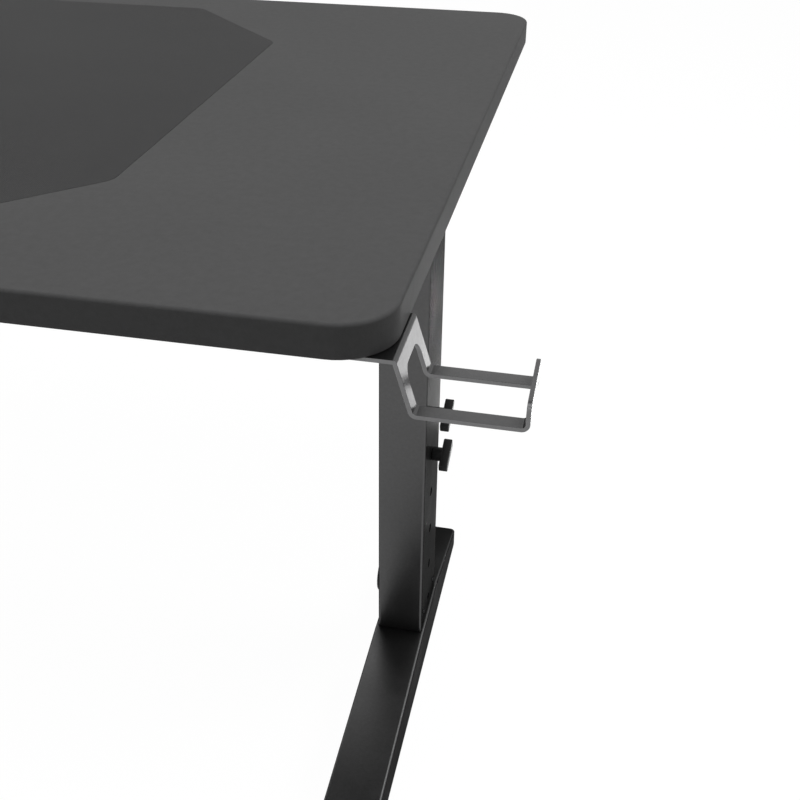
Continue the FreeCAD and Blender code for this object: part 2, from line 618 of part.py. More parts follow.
def press_knob():
    """Low round knob of the press screw on the sleeve's inner face, with a blind bore for its stud."""
    radius = PRESS_KNOB_DIAMETER / 2
    bore = STUD_DIAMETER / 2 + THREAD_CLEARANCE
    floor_x = PRESS_KNOB_HEAD - PRESS_STUD_COVER
    outline = [(SEAT_CLEARANCE, bore), (SEAT_CLEARANCE, radius),
               (PRESS_KNOB_HEAD - PRESS_KNOB_CHAMFER, radius),
               (PRESS_KNOB_HEAD, radius - PRESS_KNOB_CHAMFER), (PRESS_KNOB_HEAD, 0),
               (floor_x, 0), (floor_x, bore)]
    piece = turned(outline).mirror(Vector(), AXIS_X)
    piece.translate(Vector(-LEG_WIDTH / 2, 0, PRESS_LEVEL))
    return piece


def press_stud():
    """Stud of the press screw, which ends just short of the post's web."""
    outer_end = LEG_WIDTH / 2 + PRESS_KNOB_HEAD - PRESS_STUD_COVER - SEAT_CLEARANCE
    piece = stud(POST_WIDTH / 2 + RUNNING_CLEARANCE, outer_end).mirror(Vector(), AXIS_X)
    piece.translate(Vector(0, 0, PRESS_LEVEL))
    return piece


def post_bolt_places():
    """Places of the bolts that hold a post to its foot."""
    return [(i * POST_BOLT_SPREAD_X / 2, j * POST_BOLT_SPREAD_Y / 2) for i in (-1, 1) for j in (-1, 1)]


def leg_post():
    """Lipped channel that stands on the foot, with its mouth to the outside."""
    outer = rounded_prism(POST_WIDTH, POST_DEPTH, POST_CORNER_RADIUS, CREST, POST_TOP)
    inner = rounded_prism(POST_WIDTH - 2 * POST_WALL, POST_DEPTH - 2 * POST_WALL, POST_BEND_RADIUS,
                          CREST - OVERRUN, POST_TOP + OVERRUN)
    mouth = block(Vector(0, -POST_MOUTH / 2, CREST - OVERRUN),
                  Vector(POST_WIDTH / 2 + OVERRUN, POST_MOUTH / 2, POST_TOP + OVERRUN))
    return outer.cut([inner, mouth])


def post_base():
    """Tapped block welded inside the post's lower end."""
    width = POST_WIDTH - 2 * POST_WALL - 2 * SEAT_CLEARANCE
    depth = POST_DEPTH - 2 * POST_WALL - 2 * SEAT_CLEARANCE
    base = rounded_prism(width, depth, POST_BEND_RADIUS, CREST, CREST + POST_BASE_THICKNESS)
    diameter = POST_BOLT_DIAMETER + 2 * THREAD_CLEARANCE
    high = CREST + POST_BASE_THICKNESS + OVERRUN
    return base.cut([rod(diameter, Vector(x, y, CREST - OVERRUN), Vector(x, y, high))
                     for x, y in post_bolt_places()])


def post_cap():
    """Plastic cap with a skirt round the post's upper end, which guides it in the sleeve."""
    width = SLEEVE_INNER_WIDTH - 2 * RUNNING_CLEARANCE
    depth = SLEEVE_INNER_DEPTH - 2 * RUNNING_CLEARANCE
    low = POST_TOP - CAP_SKIRT
    cap = rounded_prism(width, depth, POST_CORNER_RADIUS, low, POST_TOP + CAP_THICKNESS)
    socket = rounded_prism(POST_WIDTH, POST_DEPTH, POST_CORNER_RADIUS, low - OVERRUN, POST_TOP)
    return cap.cut(socket)


def foot_block():
    """Solid outline of the foot, with its crest under the leg and its long edges rounded."""
    half = FOOT_WIDTH / 2
    crest = LEG_DEPTH / 2 + FOOT_CREST_MARGIN
    side = [(FOOT_FRONT, FOOT_BOTTOM), (FOOT_FRONT, FOOT_BOTTOM + FOOT_FRONT_HEIGHT), (-crest, CREST),
            (crest, CREST), (FOOT_BACK, FOOT_BOTTOM + FOOT_BACK_HEIGHT), (FOOT_BACK, FOOT_BOTTOM)]
    points = [Vector(-half, y, z) for y, z in side]
    solid = Part.Face(Part.makePolygon(points + points[:1])).extrude(Vector(FOOT_WIDTH, 0, 0))
    upright = [edge for edge in solid.Edges if edge.BoundBox.XLength + edge.BoundBox.YLength < FOOT_SHEET]
    solid = solid.makeFillet(FOOT_END_RADIUS + FOOT_SHEET, upright)
    upward = [edge for face in solid.Faces if face.normalAt(0, 0).z > 0.5 for edge in face.Edges]
    rim = [edge for edge in upward if sum(edge.isSame(other) for other in upward) == 1]
    return solid.makeFillet(FOOT_BEND_RADIUS + FOOT_SHEET, rim)


def foot():
    """Sheet channel foot with holes for the post's bolts in its crest."""
    solid = foot_block()
    below = [face for face in solid.Faces if face.BoundBox.ZMax < FOOT_BOTTOM + FOOT_SHEET]
    shell = solid.makeThickness(below, -FOOT_SHEET, FOOT_SHEET / 1000)
    diameter = POST_BOLT_DIAMETER + 2 * HOLE_CLEARANCE
    low = CREST - FOOT_SHEET - OVERRUN
    return shell.cut([rod(diameter, Vector(x, y, low), Vector(x, y, CREST + OVERRUN))
                      for x, y in post_bolt_places()])


def foot_stiffener():
    """Plate under the foot's crest that spreads the load of the post's bolts."""
    high = CREST - FOOT_SHEET
    half_x = FOOT_WIDTH / 2 - FOOT_SHEET - STIFFENER_MARGIN
    half_y = LEG_DEPTH / 2 - STIFFENER_MARGIN
    low = high - STIFFENER_THICKNESS
    plate = block(Vector(-half_x, -half_y, low), Vector(half_x, half_y, high))
    diameter = POST_BOLT_DIAMETER + 2 * HOLE_CLEARANCE
    return plate.cut([rod(diameter, Vector(x, y, low - OVERRUN), Vector(x, y, high + OVERRUN))
                      for x, y in post_bolt_places()])


def post_bolts():
    """Bolts of both posts, driven from below."""
    seat = CREST - FOOT_SHEET - STIFFENER_THICKNESS
    bolts = [hex_bolt(POST_BOLT_DIAMETER, Vector(x, y, seat), Vector(x, y, CREST + POST_BASE_THICKNESS))
             for x, y in post_bolt_places()]
    return Part.makeCompound([at_leg(bolt, side) for side in (-1, 1) for bolt in bolts])


def glide_places():
    """Glide axes along Y, from the leg's axis, by name."""
    return {"front": FOOT_FRONT + GLIDE_END_INSET, "back": FOOT_BACK - GLIDE_END_INSET}


def glide_plates():
    """Threaded plates welded between the walls of one foot."""
    low = GLIDE_HEIGHT + SEAT_CLEARANCE
    half_x = FOOT_WIDTH / 2 - FOOT_SHEET
    plates = []
    for y in glide_places().values():
        plate = block(Vector(-half_x, y - GLIDE_PLATE_LENGTH / 2, low),
                      Vector(half_x, y + GLIDE_PLATE_LENGTH / 2, low + GLIDE_PLATE_THICKNESS))
        diameter = GLIDE_STUD_DIAMETER + 2 * THREAD_CLEARANCE
        top = low + GLIDE_PLATE_THICKNESS + OVERRUN
        plates.append(plate.cut(rod(diameter, Vector(0, y, low - OVERRUN), Vector(0, y, top))))
    return Part.makeCompound(plates)


def glide_pad(y):
    """Round plastic pad with a chamfered tread and a socket for its stud."""
    pad = Part.makeCylinder(GLIDE_DIAMETER / 2, GLIDE_HEIGHT, Vector(0, y, 0))
    tread = [edge for edge in pad.Edges if edge.BoundBox.ZMax < GLIDE_CHAMFER]
    pad = pad.makeChamfer(GLIDE_CHAMFER, tread)
    socket = rod(GLIDE_STUD_DIAMETER + 2 * THREAD_CLEARANCE, Vector(0, y, GLIDE_HEIGHT / 2),
                 Vector(0, y, GLIDE_HEIGHT + OVERRUN))
    return pad.cut(socket)


def glide_stud(y):
    """Stud of a glide, from its pad up through the threaded plate."""
    top = GLIDE_HEIGHT + SEAT_CLEARANCE + GLIDE_PLATE_THICKNESS + GLIDE_STUD_RISE
    return rod(GLIDE_STUD_DIAMETER, Vector(0, y, GLIDE_HEIGHT / 2 + SEAT_CLEARANCE), Vector(0, y, top))


def leg_pieces():
    """Pieces of the right leg that the left leg repeats mirrored, by name."""
    pieces = {"foot": foot(), "foot_stiffener": foot_stiffener(), "glide_plates": glide_plates(),
              "leg_post": leg_post(), "post_base": post_base(), "post_cap": post_cap(),
              "leg_sleeve": leg_sleeve(), "guide_collar": guide_collar(), "clamp_pad": clamp_pad(),
              "clamp_bar": clamp_bar(), "side_bracket": side_bracket(), "press_knob": press_knob(),
              "press_stud": press_stud()}
    for place, level in zip(("lower", "upper"), KNOB_LEVELS):
        pieces[place + "_knob"] = clamp_knob(level)
        pieces[place + "_stud"] = clamp_stud(level)
    for place, y in glide_places().items():
        pieces[place + "_glide"] = glide_pad(y)
        pieces[place + "_glide_stud"] = glide_stud(y)
    return pieces


def desk():
    """Every piece of the desk in its place, by node name."""
    pieces = {"tabletop": tabletop(), "mouse_surface": mouse_surface(), "headphone_hook": headphone_hook(),
              "hook_screws": hook_screws(), "bracket_screws": bracket_screws(), "rail_bolts": rail_bolts(),
              "collar_rivets": collar_rivets(), "post_bolts": post_bolts()}
    for place, y in rail_places().items():
        pieces["cross_rail_" + place] = cross_rail(y)
    for name, shape in leg_pieces().items():
        pieces[name + "_left"] = at_leg(shape, -1)
        pieces[name + "_right"] = at_leg(shape, 1)
    return pieces


os.makedirs("parts", exist_ok=True)
for node, shape in desk().items():
    shape.exportStep("parts/" + node + ".step")
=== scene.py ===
"""Studio scene of a gaming desk.

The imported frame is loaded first. The board and the sheet metal get copies with eased edges, the small
fixings are modelled anew, every surface gets a procedural finish, and a soft studio set stands round the
desk. Lengths are metres. +X is to the sitter's right, +Y away from the sitter, +Z up, the floor is Z = 0.
"""

import json
import logging
import math
from collections.abc import Callable, Iterator, Sequence
from contextlib import contextmanager
from dataclasses import dataclass, field
from enum import Enum
from typing import Protocol

import bmesh
import bpy
from mathutils import Matrix, Vector

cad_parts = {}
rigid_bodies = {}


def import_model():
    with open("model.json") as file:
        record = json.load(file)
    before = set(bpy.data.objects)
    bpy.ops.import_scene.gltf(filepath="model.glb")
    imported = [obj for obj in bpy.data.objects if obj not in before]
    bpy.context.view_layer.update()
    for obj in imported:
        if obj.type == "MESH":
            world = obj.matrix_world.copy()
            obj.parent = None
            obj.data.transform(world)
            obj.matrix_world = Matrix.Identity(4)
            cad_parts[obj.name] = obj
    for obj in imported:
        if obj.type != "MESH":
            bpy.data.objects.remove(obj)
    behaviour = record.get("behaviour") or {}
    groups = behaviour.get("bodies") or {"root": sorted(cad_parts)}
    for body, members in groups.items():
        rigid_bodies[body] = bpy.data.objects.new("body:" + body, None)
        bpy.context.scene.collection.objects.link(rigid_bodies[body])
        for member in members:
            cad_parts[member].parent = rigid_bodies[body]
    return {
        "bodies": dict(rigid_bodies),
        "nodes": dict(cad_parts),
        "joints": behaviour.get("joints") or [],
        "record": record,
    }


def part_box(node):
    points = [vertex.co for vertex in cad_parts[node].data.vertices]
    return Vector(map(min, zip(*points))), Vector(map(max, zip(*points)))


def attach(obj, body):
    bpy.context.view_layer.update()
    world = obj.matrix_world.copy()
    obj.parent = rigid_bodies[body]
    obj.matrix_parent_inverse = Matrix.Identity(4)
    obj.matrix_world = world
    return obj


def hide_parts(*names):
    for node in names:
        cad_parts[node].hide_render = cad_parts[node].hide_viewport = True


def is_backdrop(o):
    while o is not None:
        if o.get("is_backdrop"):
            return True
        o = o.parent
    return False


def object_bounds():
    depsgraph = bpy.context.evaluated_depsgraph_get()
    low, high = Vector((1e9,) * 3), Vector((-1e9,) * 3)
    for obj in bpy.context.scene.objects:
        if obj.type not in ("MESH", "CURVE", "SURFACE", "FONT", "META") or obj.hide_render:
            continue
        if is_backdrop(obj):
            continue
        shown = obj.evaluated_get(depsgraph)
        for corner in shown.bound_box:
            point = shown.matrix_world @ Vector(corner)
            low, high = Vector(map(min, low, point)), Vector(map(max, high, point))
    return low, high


Triple = tuple[float, float, float]
Span = tuple[float, float]
Box = tuple[Vector, Vector]
Piece = bpy.types.Object
Node = bpy.types.Node
NodeTree = bpy.types.NodeTree
Outputs = bpy.types.NodeOutputs
Inputs = bpy.types.NodeInputs
Socket = bpy.types.NodeSocket
Test = Callable[[Vector, Vector], bool]

MERGE_DISTANCE = 2e-6
WHITE: Triple = (1.0, 1.0, 1.0)
log = logging.getLogger("desk")


class Side(Enum):
    """Side of the desk, with its sign along X."""

    LEFT = -1
    RIGHT = 1

    @property
    def suffix(self) -> str:
        """Ending of the names of nodes and bodies on this side."""
        return "_" + self.name.lower()


class Heading(Enum):
    """Where the heads of a set of fixings point."""

    DOWN = "down"
    OUTWARD = "outward"

    def direction(self, middle: Vector) -> Vector:
        """Direction of the head of a fixing.

        Args:
            middle: Middle of the fixing.

        Returns:
            Unit vector towards the head.
        """
        if self is Heading.DOWN:
            return Vector((0.0, 0.0, -1.0))
        return Vector((math.copysign(1.0, middle.x), 0.0, 0.0))


class Slot(Enum):
    """Material slots of the record."""

    BOARD = "board_laminate"
    CLOTH = "mouse_cloth"
    FRAME = "frame_paint"
    POST = "post_paint"
    HOOK = "hook_paint"
    PLASTIC = "black_plastic"
    ZINC = "zinc_steel"


# Node graphs and shared effects


class Graph:
    """Node tree with short calls to add and link nodes."""

    def __init__(self, tree: NodeTree) -> None:
        """Keep the tree that the calls work on."""
        self.tree = tree

    def add(self, kind: str, inputs: dict[str | int, object] | None = None, **settings: object) -> Node:
        """Add a node.

        Args:
            kind: Node type without its ShaderNode prefix.
            inputs: Values or sockets for the node's inputs, by name or index.
            settings: Attributes of the node.

        Returns:
            The new node.
        """
        node = self.tree.nodes.new("ShaderNode" + kind)
        for key, value in settings.items():
            setattr(node, key, value)
        for key, value in (inputs or {}).items():
            self.feed(value, node.inputs[key])
        return node

    def feed(self, value: object, target: Socket) -> None:
        """Link a socket to an input, or set the input's value.

        Args:
            value: Socket, number or vector; a colour has three channels.
            target: Input socket.
        """
        if isinstance(value, Socket):
            self.tree.links.new(value, target)
        else:
            target.default_value = (*value, 1.0) if target.type == "RGBA" else value

    def math(self, operation: str, first: object, second: object = 0.0) -> Socket:
        """Result of one arithmetic node."""
        return self.add("Math", {0: first, 1: second}, operation=operation).outputs[0]

    def ramp(self, value: Socket, span: Span, reach: Span = (0.0, 1.0)) -> Socket:
        """Value mapped from a span to a reach, held at both ends."""
        return self.add("MapRange", dict(enumerate((value, *span, *reach)))).outputs[0]

    def blend(self, share: object, first: object, second: object) -> Socket:
        """Mix two colours.

        Args:
            share: Share of the second colour.
            first: Colour at a share of zero.
            second: Colour at a share of one.

        Returns:
            The mixed colour.
        """
        node = self.add("Mix", data_type="RGBA")
        colours = [socket for socket in node.inputs if socket.type == "RGBA"]
        for value, target in zip((share, first, second), (node.inputs[0], *colours)):
            self.feed(value, target)
        return next(socket for socket in node.outputs if socket.type == "RGBA")

    def place(self) -> Socket:
        """Object coordinates."""
        return self.add("TexCoord").outputs["Object"]

    def noise(self, place: Socket, cells: object, detail: float, distortion: float = 0.0) -> Socket:
        """Noise on some coordinates, about a half."""
        inputs = {"Vector": place, "Scale": cells, "Detail": detail, "Distortion": distortion}
        return self.add("TexNoise", inputs).outputs[0]


class Effect(Enum):
    """Shader node groups that several finishes share."""

    GRAIN = "fine_grain"
    # Lighter edges: rubbed wear, and partly a painted highlight.
    RUB = "edge_rub"
    DUST = "settled_dust"
    HANDLING = "uneven_sheen"
    # Painted shade: darkens the colour in recesses and inside corners.
    RECESS = "recess_shade"

    def group(self) -> NodeTree:
        """Node group of this effect, built at its first use."""
        known = bpy.data.node_groups.get(self.value)
        return known if known else EFFECT_BUILDERS[self](self.value)


def new_group(name: str, inputs: dict[str, float], outputs: Sequence[str]) -> tuple[Graph, Outputs, Inputs]:
    """Start a shader node group.

    Args:
        name: Name of the group.
        inputs: Number inputs with their usual values.
        outputs: Names of the number outputs.

    Returns:
        The group's graph, the values given to it and the sockets of its results.
    """
    tree = bpy.data.node_groups.new(name, "ShaderNodeTree")
    for title, value in inputs.items():
        socket = tree.interface.new_socket(title, in_out="INPUT", socket_type="NodeSocketFloat")
        socket.default_value = value
    for title in outputs:
        tree.interface.new_socket(title, in_out="OUTPUT", socket_type="NodeSocketFloat")
    given = tree.nodes.new("NodeGroupInput")
    result = tree.nodes.new("NodeGroupOutput")
    return Graph(tree), given.outputs, result.inputs


NOISE_SPAN: Span = (0.3, 0.7)
BROAD_SHARE = 0.37
EDGE_TURNS: Span = (0.995, 0.86)
RUB_AND_HIGHLIGHT_PATCHES: Span = (0.42, 0.62)
RUB_AND_HIGHLIGHT_DEPTHS: Span = (0.15, 1.0)
UPWARD_SPAN: Span = (0.6, 1.0)
DUST_PATCHES: Span = (0.35, 0.7)
DUST_DEPTHS: Span = (0.2, 1.0)
OPEN_SPAN: Span = (0.3, 0.9)


def build_grain(name: str) -> NodeTree:
    """Fine and broader noise together, as a shade and as a height.

    Args:
        name: Name of the group.

    Returns:
        The group.
    """
    graph, given, result = new_group(name, {"Cells": 900.0, "Softness": 0.5}, ("Shade", "Height"))
    place = graph.place()
    fine = graph.noise(place, given["Cells"], detail=2.0)
    broad = graph.noise(place, graph.math("MULTIPLY", given["Cells"], BROAD_SHARE), detail=1.0)
    both = graph.add("Mix", {0: given["Softness"], 2: fine, 3: broad}).outputs[0]
    graph.feed(graph.ramp(both, NOISE_SPAN), result["Shade"])
    graph.feed(both, result["Height"])
    return graph.tree


def build_rub_and_highlight(name: str) -> NodeTree:
    """Mask of outer and inner edges, broken up by noise, for lighter edges: rubbed wear, and on the frame
    paint and the board a painted highlight as well.

    Args:
        name: Name of the group.

    Returns:
        The group.
    """
    graph, given, result = new_group(name, {"Reach": 0.0012, "Breaks": 60.0}, ("Mask",))
    rounded = graph.add("Bevel", {"Radius": given["Reach"]}, samples=4).outputs[0]
    true = graph.add("NewGeometry").outputs["Normal"]
    turn = graph.add("VectorMath", {0: rounded, 1: true}, operation="DOT_PRODUCT").outputs["Value"]
    patchy = graph.ramp(graph.noise(graph.place(), given["Breaks"], detail=4.0), RUB_AND_HIGHLIGHT_PATCHES, RUB_AND_HIGHLIGHT_DEPTHS)
    graph.feed(graph.math("MULTIPLY", graph.ramp(turn, EDGE_TURNS), patchy), result["Mask"])
    return graph.tree


def build_dust(name: str) -> NodeTree:
    """Mask of thin dust on faces that look up, thicker in soft patches.

    Args:
        name: Name of the group.

    Returns:
        The group.
    """
    graph, given, result = new_group(name, {"Amount": 0.04, "Patches": 5.0}, ("Mask",))
    up = graph.add("SeparateXYZ", {0: graph.add("NewGeometry").outputs["Normal"]}).outputs["Z"]
    noise = graph.noise(graph.place(), given["Patches"], detail=5.0)
    patch = graph.math("MULTIPLY", graph.ramp(noise, DUST_PATCHES, DUST_DEPTHS), graph.ramp(up, UPWARD_SPAN))
    graph.feed(graph.math("MULTIPLY", patch, given["Amount"]), result["Mask"])
    return graph.tree


def build_handling(name: str) -> NodeTree:
    """Slow change of sheen from wiping and handling, about zero.

    Args:
        name: Name of the group.

    Returns:
        The group.
    """
    graph, given, result = new_group(name, {"Cells": 7.0, "Swing": 0.05}, ("Change",))
    noise = graph.noise(graph.place(), given["Cells"], detail=3.0, distortion=0.6)
    drift = graph.ramp(noise, NOISE_SPAN, (-1.0, 1.0))
    graph.feed(graph.math("MULTIPLY", drift, given["Swing"]), result["Change"])
    return graph.tree


def build_painted_recess_shade(name: str) -> NodeTree:
    """Mask of recesses and inside corners from ambient occlusion, for painted shade that darkens the colour
    there.

    Args:
        name: Name of the group.

    Returns:
        The group.
    """
    graph, given, result = new_group(name, {"Reach": 0.04}, ("Mask",))
    free = graph.add("AmbientOcclusion", {"Distance": given["Reach"]}, samples=8).outputs["AO"]
    graph.feed(graph.ramp(free, OPEN_SPAN, (1.0, 0.0)), result["Mask"])
    return graph.tree


EFFECT_BUILDERS: dict[Effect, Callable[[str], NodeTree]] = {
    Effect.GRAIN: build_grain,
    Effect.RUB: build_rub_and_highlight,
    Effect.DUST: build_dust,
    Effect.HANDLING: build_handling,
    Effect.RECESS: build_painted_recess_shade,
}


# Finishes


@dataclass(frozen=True)
class Finish:
    """Surface finish; each kind of finish adds its own nodes to a Principled shader."""

    slot: Slot
    colour: Triple
    roughness: float
    metallic: float = 0.0
    specular: float = 0.5
    edge_tint: float = 1.0
    variant: str = ""
    grain_cells: float = 700.0
    grain_softness: float = 0.5
    grain_gains: Span = (0.93, 1.07)
    relief_depth: float = 0.00008
    drift_cells: float = 9.0
    drift_swing: float = 0.05
    dust: float = 0.02
    dust_patches: float = 5.0
    dust_colour: Triple = (0.32, 0.31, 0.3)

    @property
    def title(self) -> str:
        """Name of the material."""
        return self.slot.value + self.variant + "_finish"

    def material(self) -> bpy.types.Material:
        """Build the material at its first use.

        Returns:
            The material of this finish.
        """
        known = bpy.data.materials.get(self.title)
        if known:
            return known
        material = bpy.data.materials.new(self.title)
        material.use_nodes = True
        shader = material.node_tree.nodes["Principled BSDF"]
        shader.inputs["Metallic"].default_value = self.metallic
        shader.inputs["Specular IOR Level"].default_value = self.specular
        shader.inputs["Specular Tint"].default_value = (self.edge_tint, self.edge_tint, self.edge_tint, 1.0)
        self.dress(Graph(material.node_tree), shader)
        return material

    def dress(self, graph: Graph, shader: Node) -> None:
        """Add the nodes of this kind of finish."""
        raise NotImplementedError

    def effect(self, graph: Graph, effect: Effect, **values: float) -> Outputs:
        """Place a shared effect with its own values.

        Args:
            graph: Graph of the material.
            effect: Shared effect.
            values: Values of the group's inputs by name.

        Returns:
            The outputs of the group node.
        """
        node = graph.add("Group", node_tree=effect.group())
        for name, value in values.items():
            node.inputs[name].default_value = value
        return node.outputs

    def grain(self, graph: Graph) -> Outputs:
        """Grain of this finish, as a shade and as a height."""
        return self.effect(graph, Effect.GRAIN, Cells=self.grain_cells, Softness=self.grain_softness)

    def tone(self, gain: float) -> Triple:
        """Colour of the finish, brighter or darker by a gain."""
        return tuple(channel * gain for channel in self.colour)

    def shaded(self, graph: Graph, shade: Socket) -> Socket:
        """Colour of the finish, from its darker to its brighter tone by a shade."""
        return graph.blend(shade, *(self.tone(gain) for gain in self.grain_gains))

    def complete(self, graph: Graph, shader: Node, colour: Socket, height: Socket) -> None:
        """Settle dust on a colour, let the roughness drift and add a fine relief.

        Args:
            graph: Graph of the material.
            shader: Shader of the material.
            colour: Colour below the dust.
            height: Height of the relief.
        """
        if self.dust:
            dust = self.effect(graph, Effect.DUST, Amount=self.dust, Patches=self.dust_patches)["Mask"]
            colour = graph.blend(dust, colour, self.dust_colour)
        graph.feed(colour, shader.inputs["Base Color"])
        change = self.effect(graph, Effect.HANDLING, Cells=self.drift_cells, Swing=self.drift_swing)["Change"]
        graph.feed(graph.math("ADD", change, self.roughness), shader.inputs["Roughness"])
        bump = graph.add("Bump", {"Height": height, "Strength": 1.0, "Distance": self.relief_depth})
        graph.feed(bump.outputs[0], shader.inputs["Normal"])


@dataclass(frozen=True)
class RubbedAndHighlightedFinish(Finish):
    """Finish whose edges are lighter: rubbed wear, and on some finishes a painted highlight as well."""

    rub_and_highlight_gain: float = 1.9
    rub_and_highlight_reach: float = 0.001
    rub_and_highlight_breaks: float = 60.0
    rub_and_highlight_share: float = 1.0

    def rubbed_and_highlighted(self, graph: Graph, colour: Socket) -> Socket:
        """Colour with its edges lighter, as rubbed wear and painted highlight."""
        edge_lightening_mask = self.effect(graph, Effect.RUB, Reach=self.rub_and_highlight_reach, Breaks=self.rub_and_highlight_breaks)["Mask"]
        return graph.blend(graph.math("MULTIPLY", edge_lightening_mask, self.rub_and_highlight_share), colour, self.tone(self.rub_and_highlight_gain))


@dataclass(frozen=True)
class PowderCoat(RubbedAndHighlightedFinish):
    """Stove-enamelled powder coat with a fine orange peel, edges lightened as slight rub and painted
    highlight, and painted shade in recesses.
    """

    grain_softness: float = 0.55
    painted_shade_gain: float = 0.3
    painted_shade_reach: float = 0.045

    def dress(self, graph: Graph, shader: Node) -> None:
        """Add the peel, edges lightened as rub and painted highlight, painted shade in recesses and a trace
        of dust.

        Args:
            graph: Graph of the material.
            shader: Shader of the material.
        """
        grain = self.grain(graph)
        rubbed_and_highlighted = self.rubbed_and_highlighted(graph, self.shaded(graph, grain["Shade"]))
        # Painted shade: the colour is darkened in recesses and inside corners.
        painted_shade_mask = self.effect(graph, Effect.RECESS, Reach=self.painted_shade_reach)["Mask"]
        colour = graph.blend(painted_shade_mask, rubbed_and_highlighted, self.tone(self.painted_shade_gain))
        self.complete(graph, shader, colour, grain["Height"])


@dataclass(frozen=True)
class BoardFoil(RubbedAndHighlightedFinish):
    """Matt foil pressed round the board, with a fine pebbled grain."""

    grain_cells: float = 372.0
    grain_softness: float = 0.6
    grain_gains: Span = (0.95, 1.05)
    relief_depth: float = 0.00007
    drift_cells: float = 4.0
    drift_swing: float = 0.04
    dust: float = 0.015
    dust_patches: float = 3.0
    dust_colour: Triple = (0.3, 0.29, 0.28)
    # Lighter rounded edges: partly rubbed wear, partly a painted highlight on the board's rounds.
    rub_and_highlight_gain: float = 1.35
    rub_and_highlight_reach: float = 0.0015
    rub_and_highlight_breaks: float = 30.0
    rub_and_highlight_share: float = 0.5
    pebble_cells: float = 620.0
    pebble_share: float = -0.6

    def dress(self, graph: Graph, shader: Node) -> None:
        """Add pebbles from cells and noise, edges lightened as rub and painted highlight, and a trace of
        dust.

        Args:
            graph: Graph of the material.
            shader: Shader of the material.
        """
        inputs = {"Vector": graph.place(), "Scale": self.pebble_cells}
        pebbles = graph.add("TexVoronoi", inputs, feature="SMOOTH_F1").outputs["Distance"]
        grain = self.grain(graph)
        colour = self.rubbed_and_highlighted(graph, self.shaded(graph, grain["Shade"]))
        height = graph.math("ADD", graph.math("MULTIPLY", pebbles, self.pebble_share), grain["Height"])
        self.complete(graph, shader, colour, height)


@dataclass(frozen=True)
class SpeedCloth(Finish):
    """Close-woven polyester of a mouse surface."""

    grain_cells: float = 420.0
    grain_gains: Span = (0.86, 1.12)
    relief_depth: float = 0.00012
    drift_cells: float = 3.0
    drift_swing: float = 0.03
    dust_patches: float = 4.0
    dust_colour: Triple = (0.26, 0.26, 0.25)
    sheen_weight: float = 0.05
    pitch: float = 0.0009
    weft_share: float = 0.8
    over_share: float = 0.35
    fuzz_share: float = 0.8
    thread_span: Span = (0.0, 2.1)

    def dress(self, graph: Graph, shader: Node) -> None:
        """Add a plain weave of two sets of threads that pass over and under each other.

        Args:
            graph: Graph of the material.
            shader: Shader of the material.
        """
        axes = graph.add("SeparateXYZ", {0: graph.place()}).outputs
        turns = math.pi / self.pitch
        waves = [graph.math("SINE", graph.math("MULTIPLY", axes[name], turns)) for name in ("X", "Y")]
        over = graph.math("MULTIPLY", waves[0], waves[1])
        ridges = [graph.math("ABSOLUTE", wave) for wave in waves]
        crown = graph.math("MAXIMUM", graph.math("MULTIPLY", ridges[0], self.weft_share), ridges[1])
        thread = graph.math("ADD", graph.math("MULTIPLY", over, self.over_share), crown)
        fuzz = graph.math("MULTIPLY", self.grain(graph)["Shade"], self.fuzz_share)
        shade = graph.ramp(graph.math("ADD", thread, fuzz), self.thread_span)
        shader.inputs["Sheen Weight"].default_value = self.sheen_weight
        self.complete(graph, shader, self.shaded(graph, shade), thread)


@dataclass(frozen=True)
class MouldedPlastic(RubbedAndHighlightedFinish):
    """Black moulded plastic with a spark-eroded grain and edges polished by fingers."""

    grain_cells: float = 1500.0
    grain_softness: float = 0.35
    grain_gains: Span = (0.85, 1.15)
    relief_depth: float = 0.00006
    drift_cells: float = 40.0
    drift_swing: float = 0.06
    dust: float = 0.03
    dust_patches: float = 20.0
    dust_colour: Triple = (0.24, 0.23, 0.22)
    rub_and_highlight_gain: float = 2.2
    rub_and_highlight_reach: float = 0.0014
    rub_and_highlight_breaks: float = 150.0

    def dress(self, graph: Graph, shader: Node) -> None:
        """Add the fine grain, polished edges and a trace of dust."""
        grain = self.grain(graph)
        self.complete(graph, shader, self.rubbed_and_highlighted(graph, self.shaded(graph, grain["Shade"])), grain["Height"])


@dataclass(frozen=True)
class ZincPlate(Finish):
    """Bright zinc plate on turned or rolled steel."""

    grain_cells: float = 180.0
    grain_gains: Span = (0.8, 1.1)
    relief_depth: float = 0.00003
    drift_cells: float = 120.0
    drift_swing: float = 0.08
    dust: float = 0.0
    streak_cells: float = 260.0
    streak_stretch: Triple = (1.0, 1.0, 14.0)
    cloud_gain: float = 0.72
    cloud_share: float = 0.4

    def dress(self, graph: Graph, shader: Node) -> None:
        """Add a cloudy plate with fine drawn streaks and duller patches.

        Args:
            graph: Graph of the material.
            shader: Shader of the material.
        """
        drawn = graph.add("Mapping", {"Vector": graph.place(), "Scale": self.streak_stretch}).outputs[0]
        streak = graph.noise(drawn, self.streak_cells, detail=3.0)
        plate = self.shaded(graph, graph.ramp(streak, NOISE_SPAN))
        cloud = graph.math("MULTIPLY", self.grain(graph)["Shade"], self.cloud_share)
        self.complete(graph, shader, graph.blend(cloud, plate, self.tone(self.cloud_gain)), streak)


BOARD_FOIL = BoardFoil(Slot.BOARD, (0.088, 0.088, 0.0885), roughness=0.66, specular=0.025)
MOUSE_CLOTH = SpeedCloth(Slot.CLOTH, (0.0385, 0.0385, 0.0389), roughness=0.9, specular=0.15)
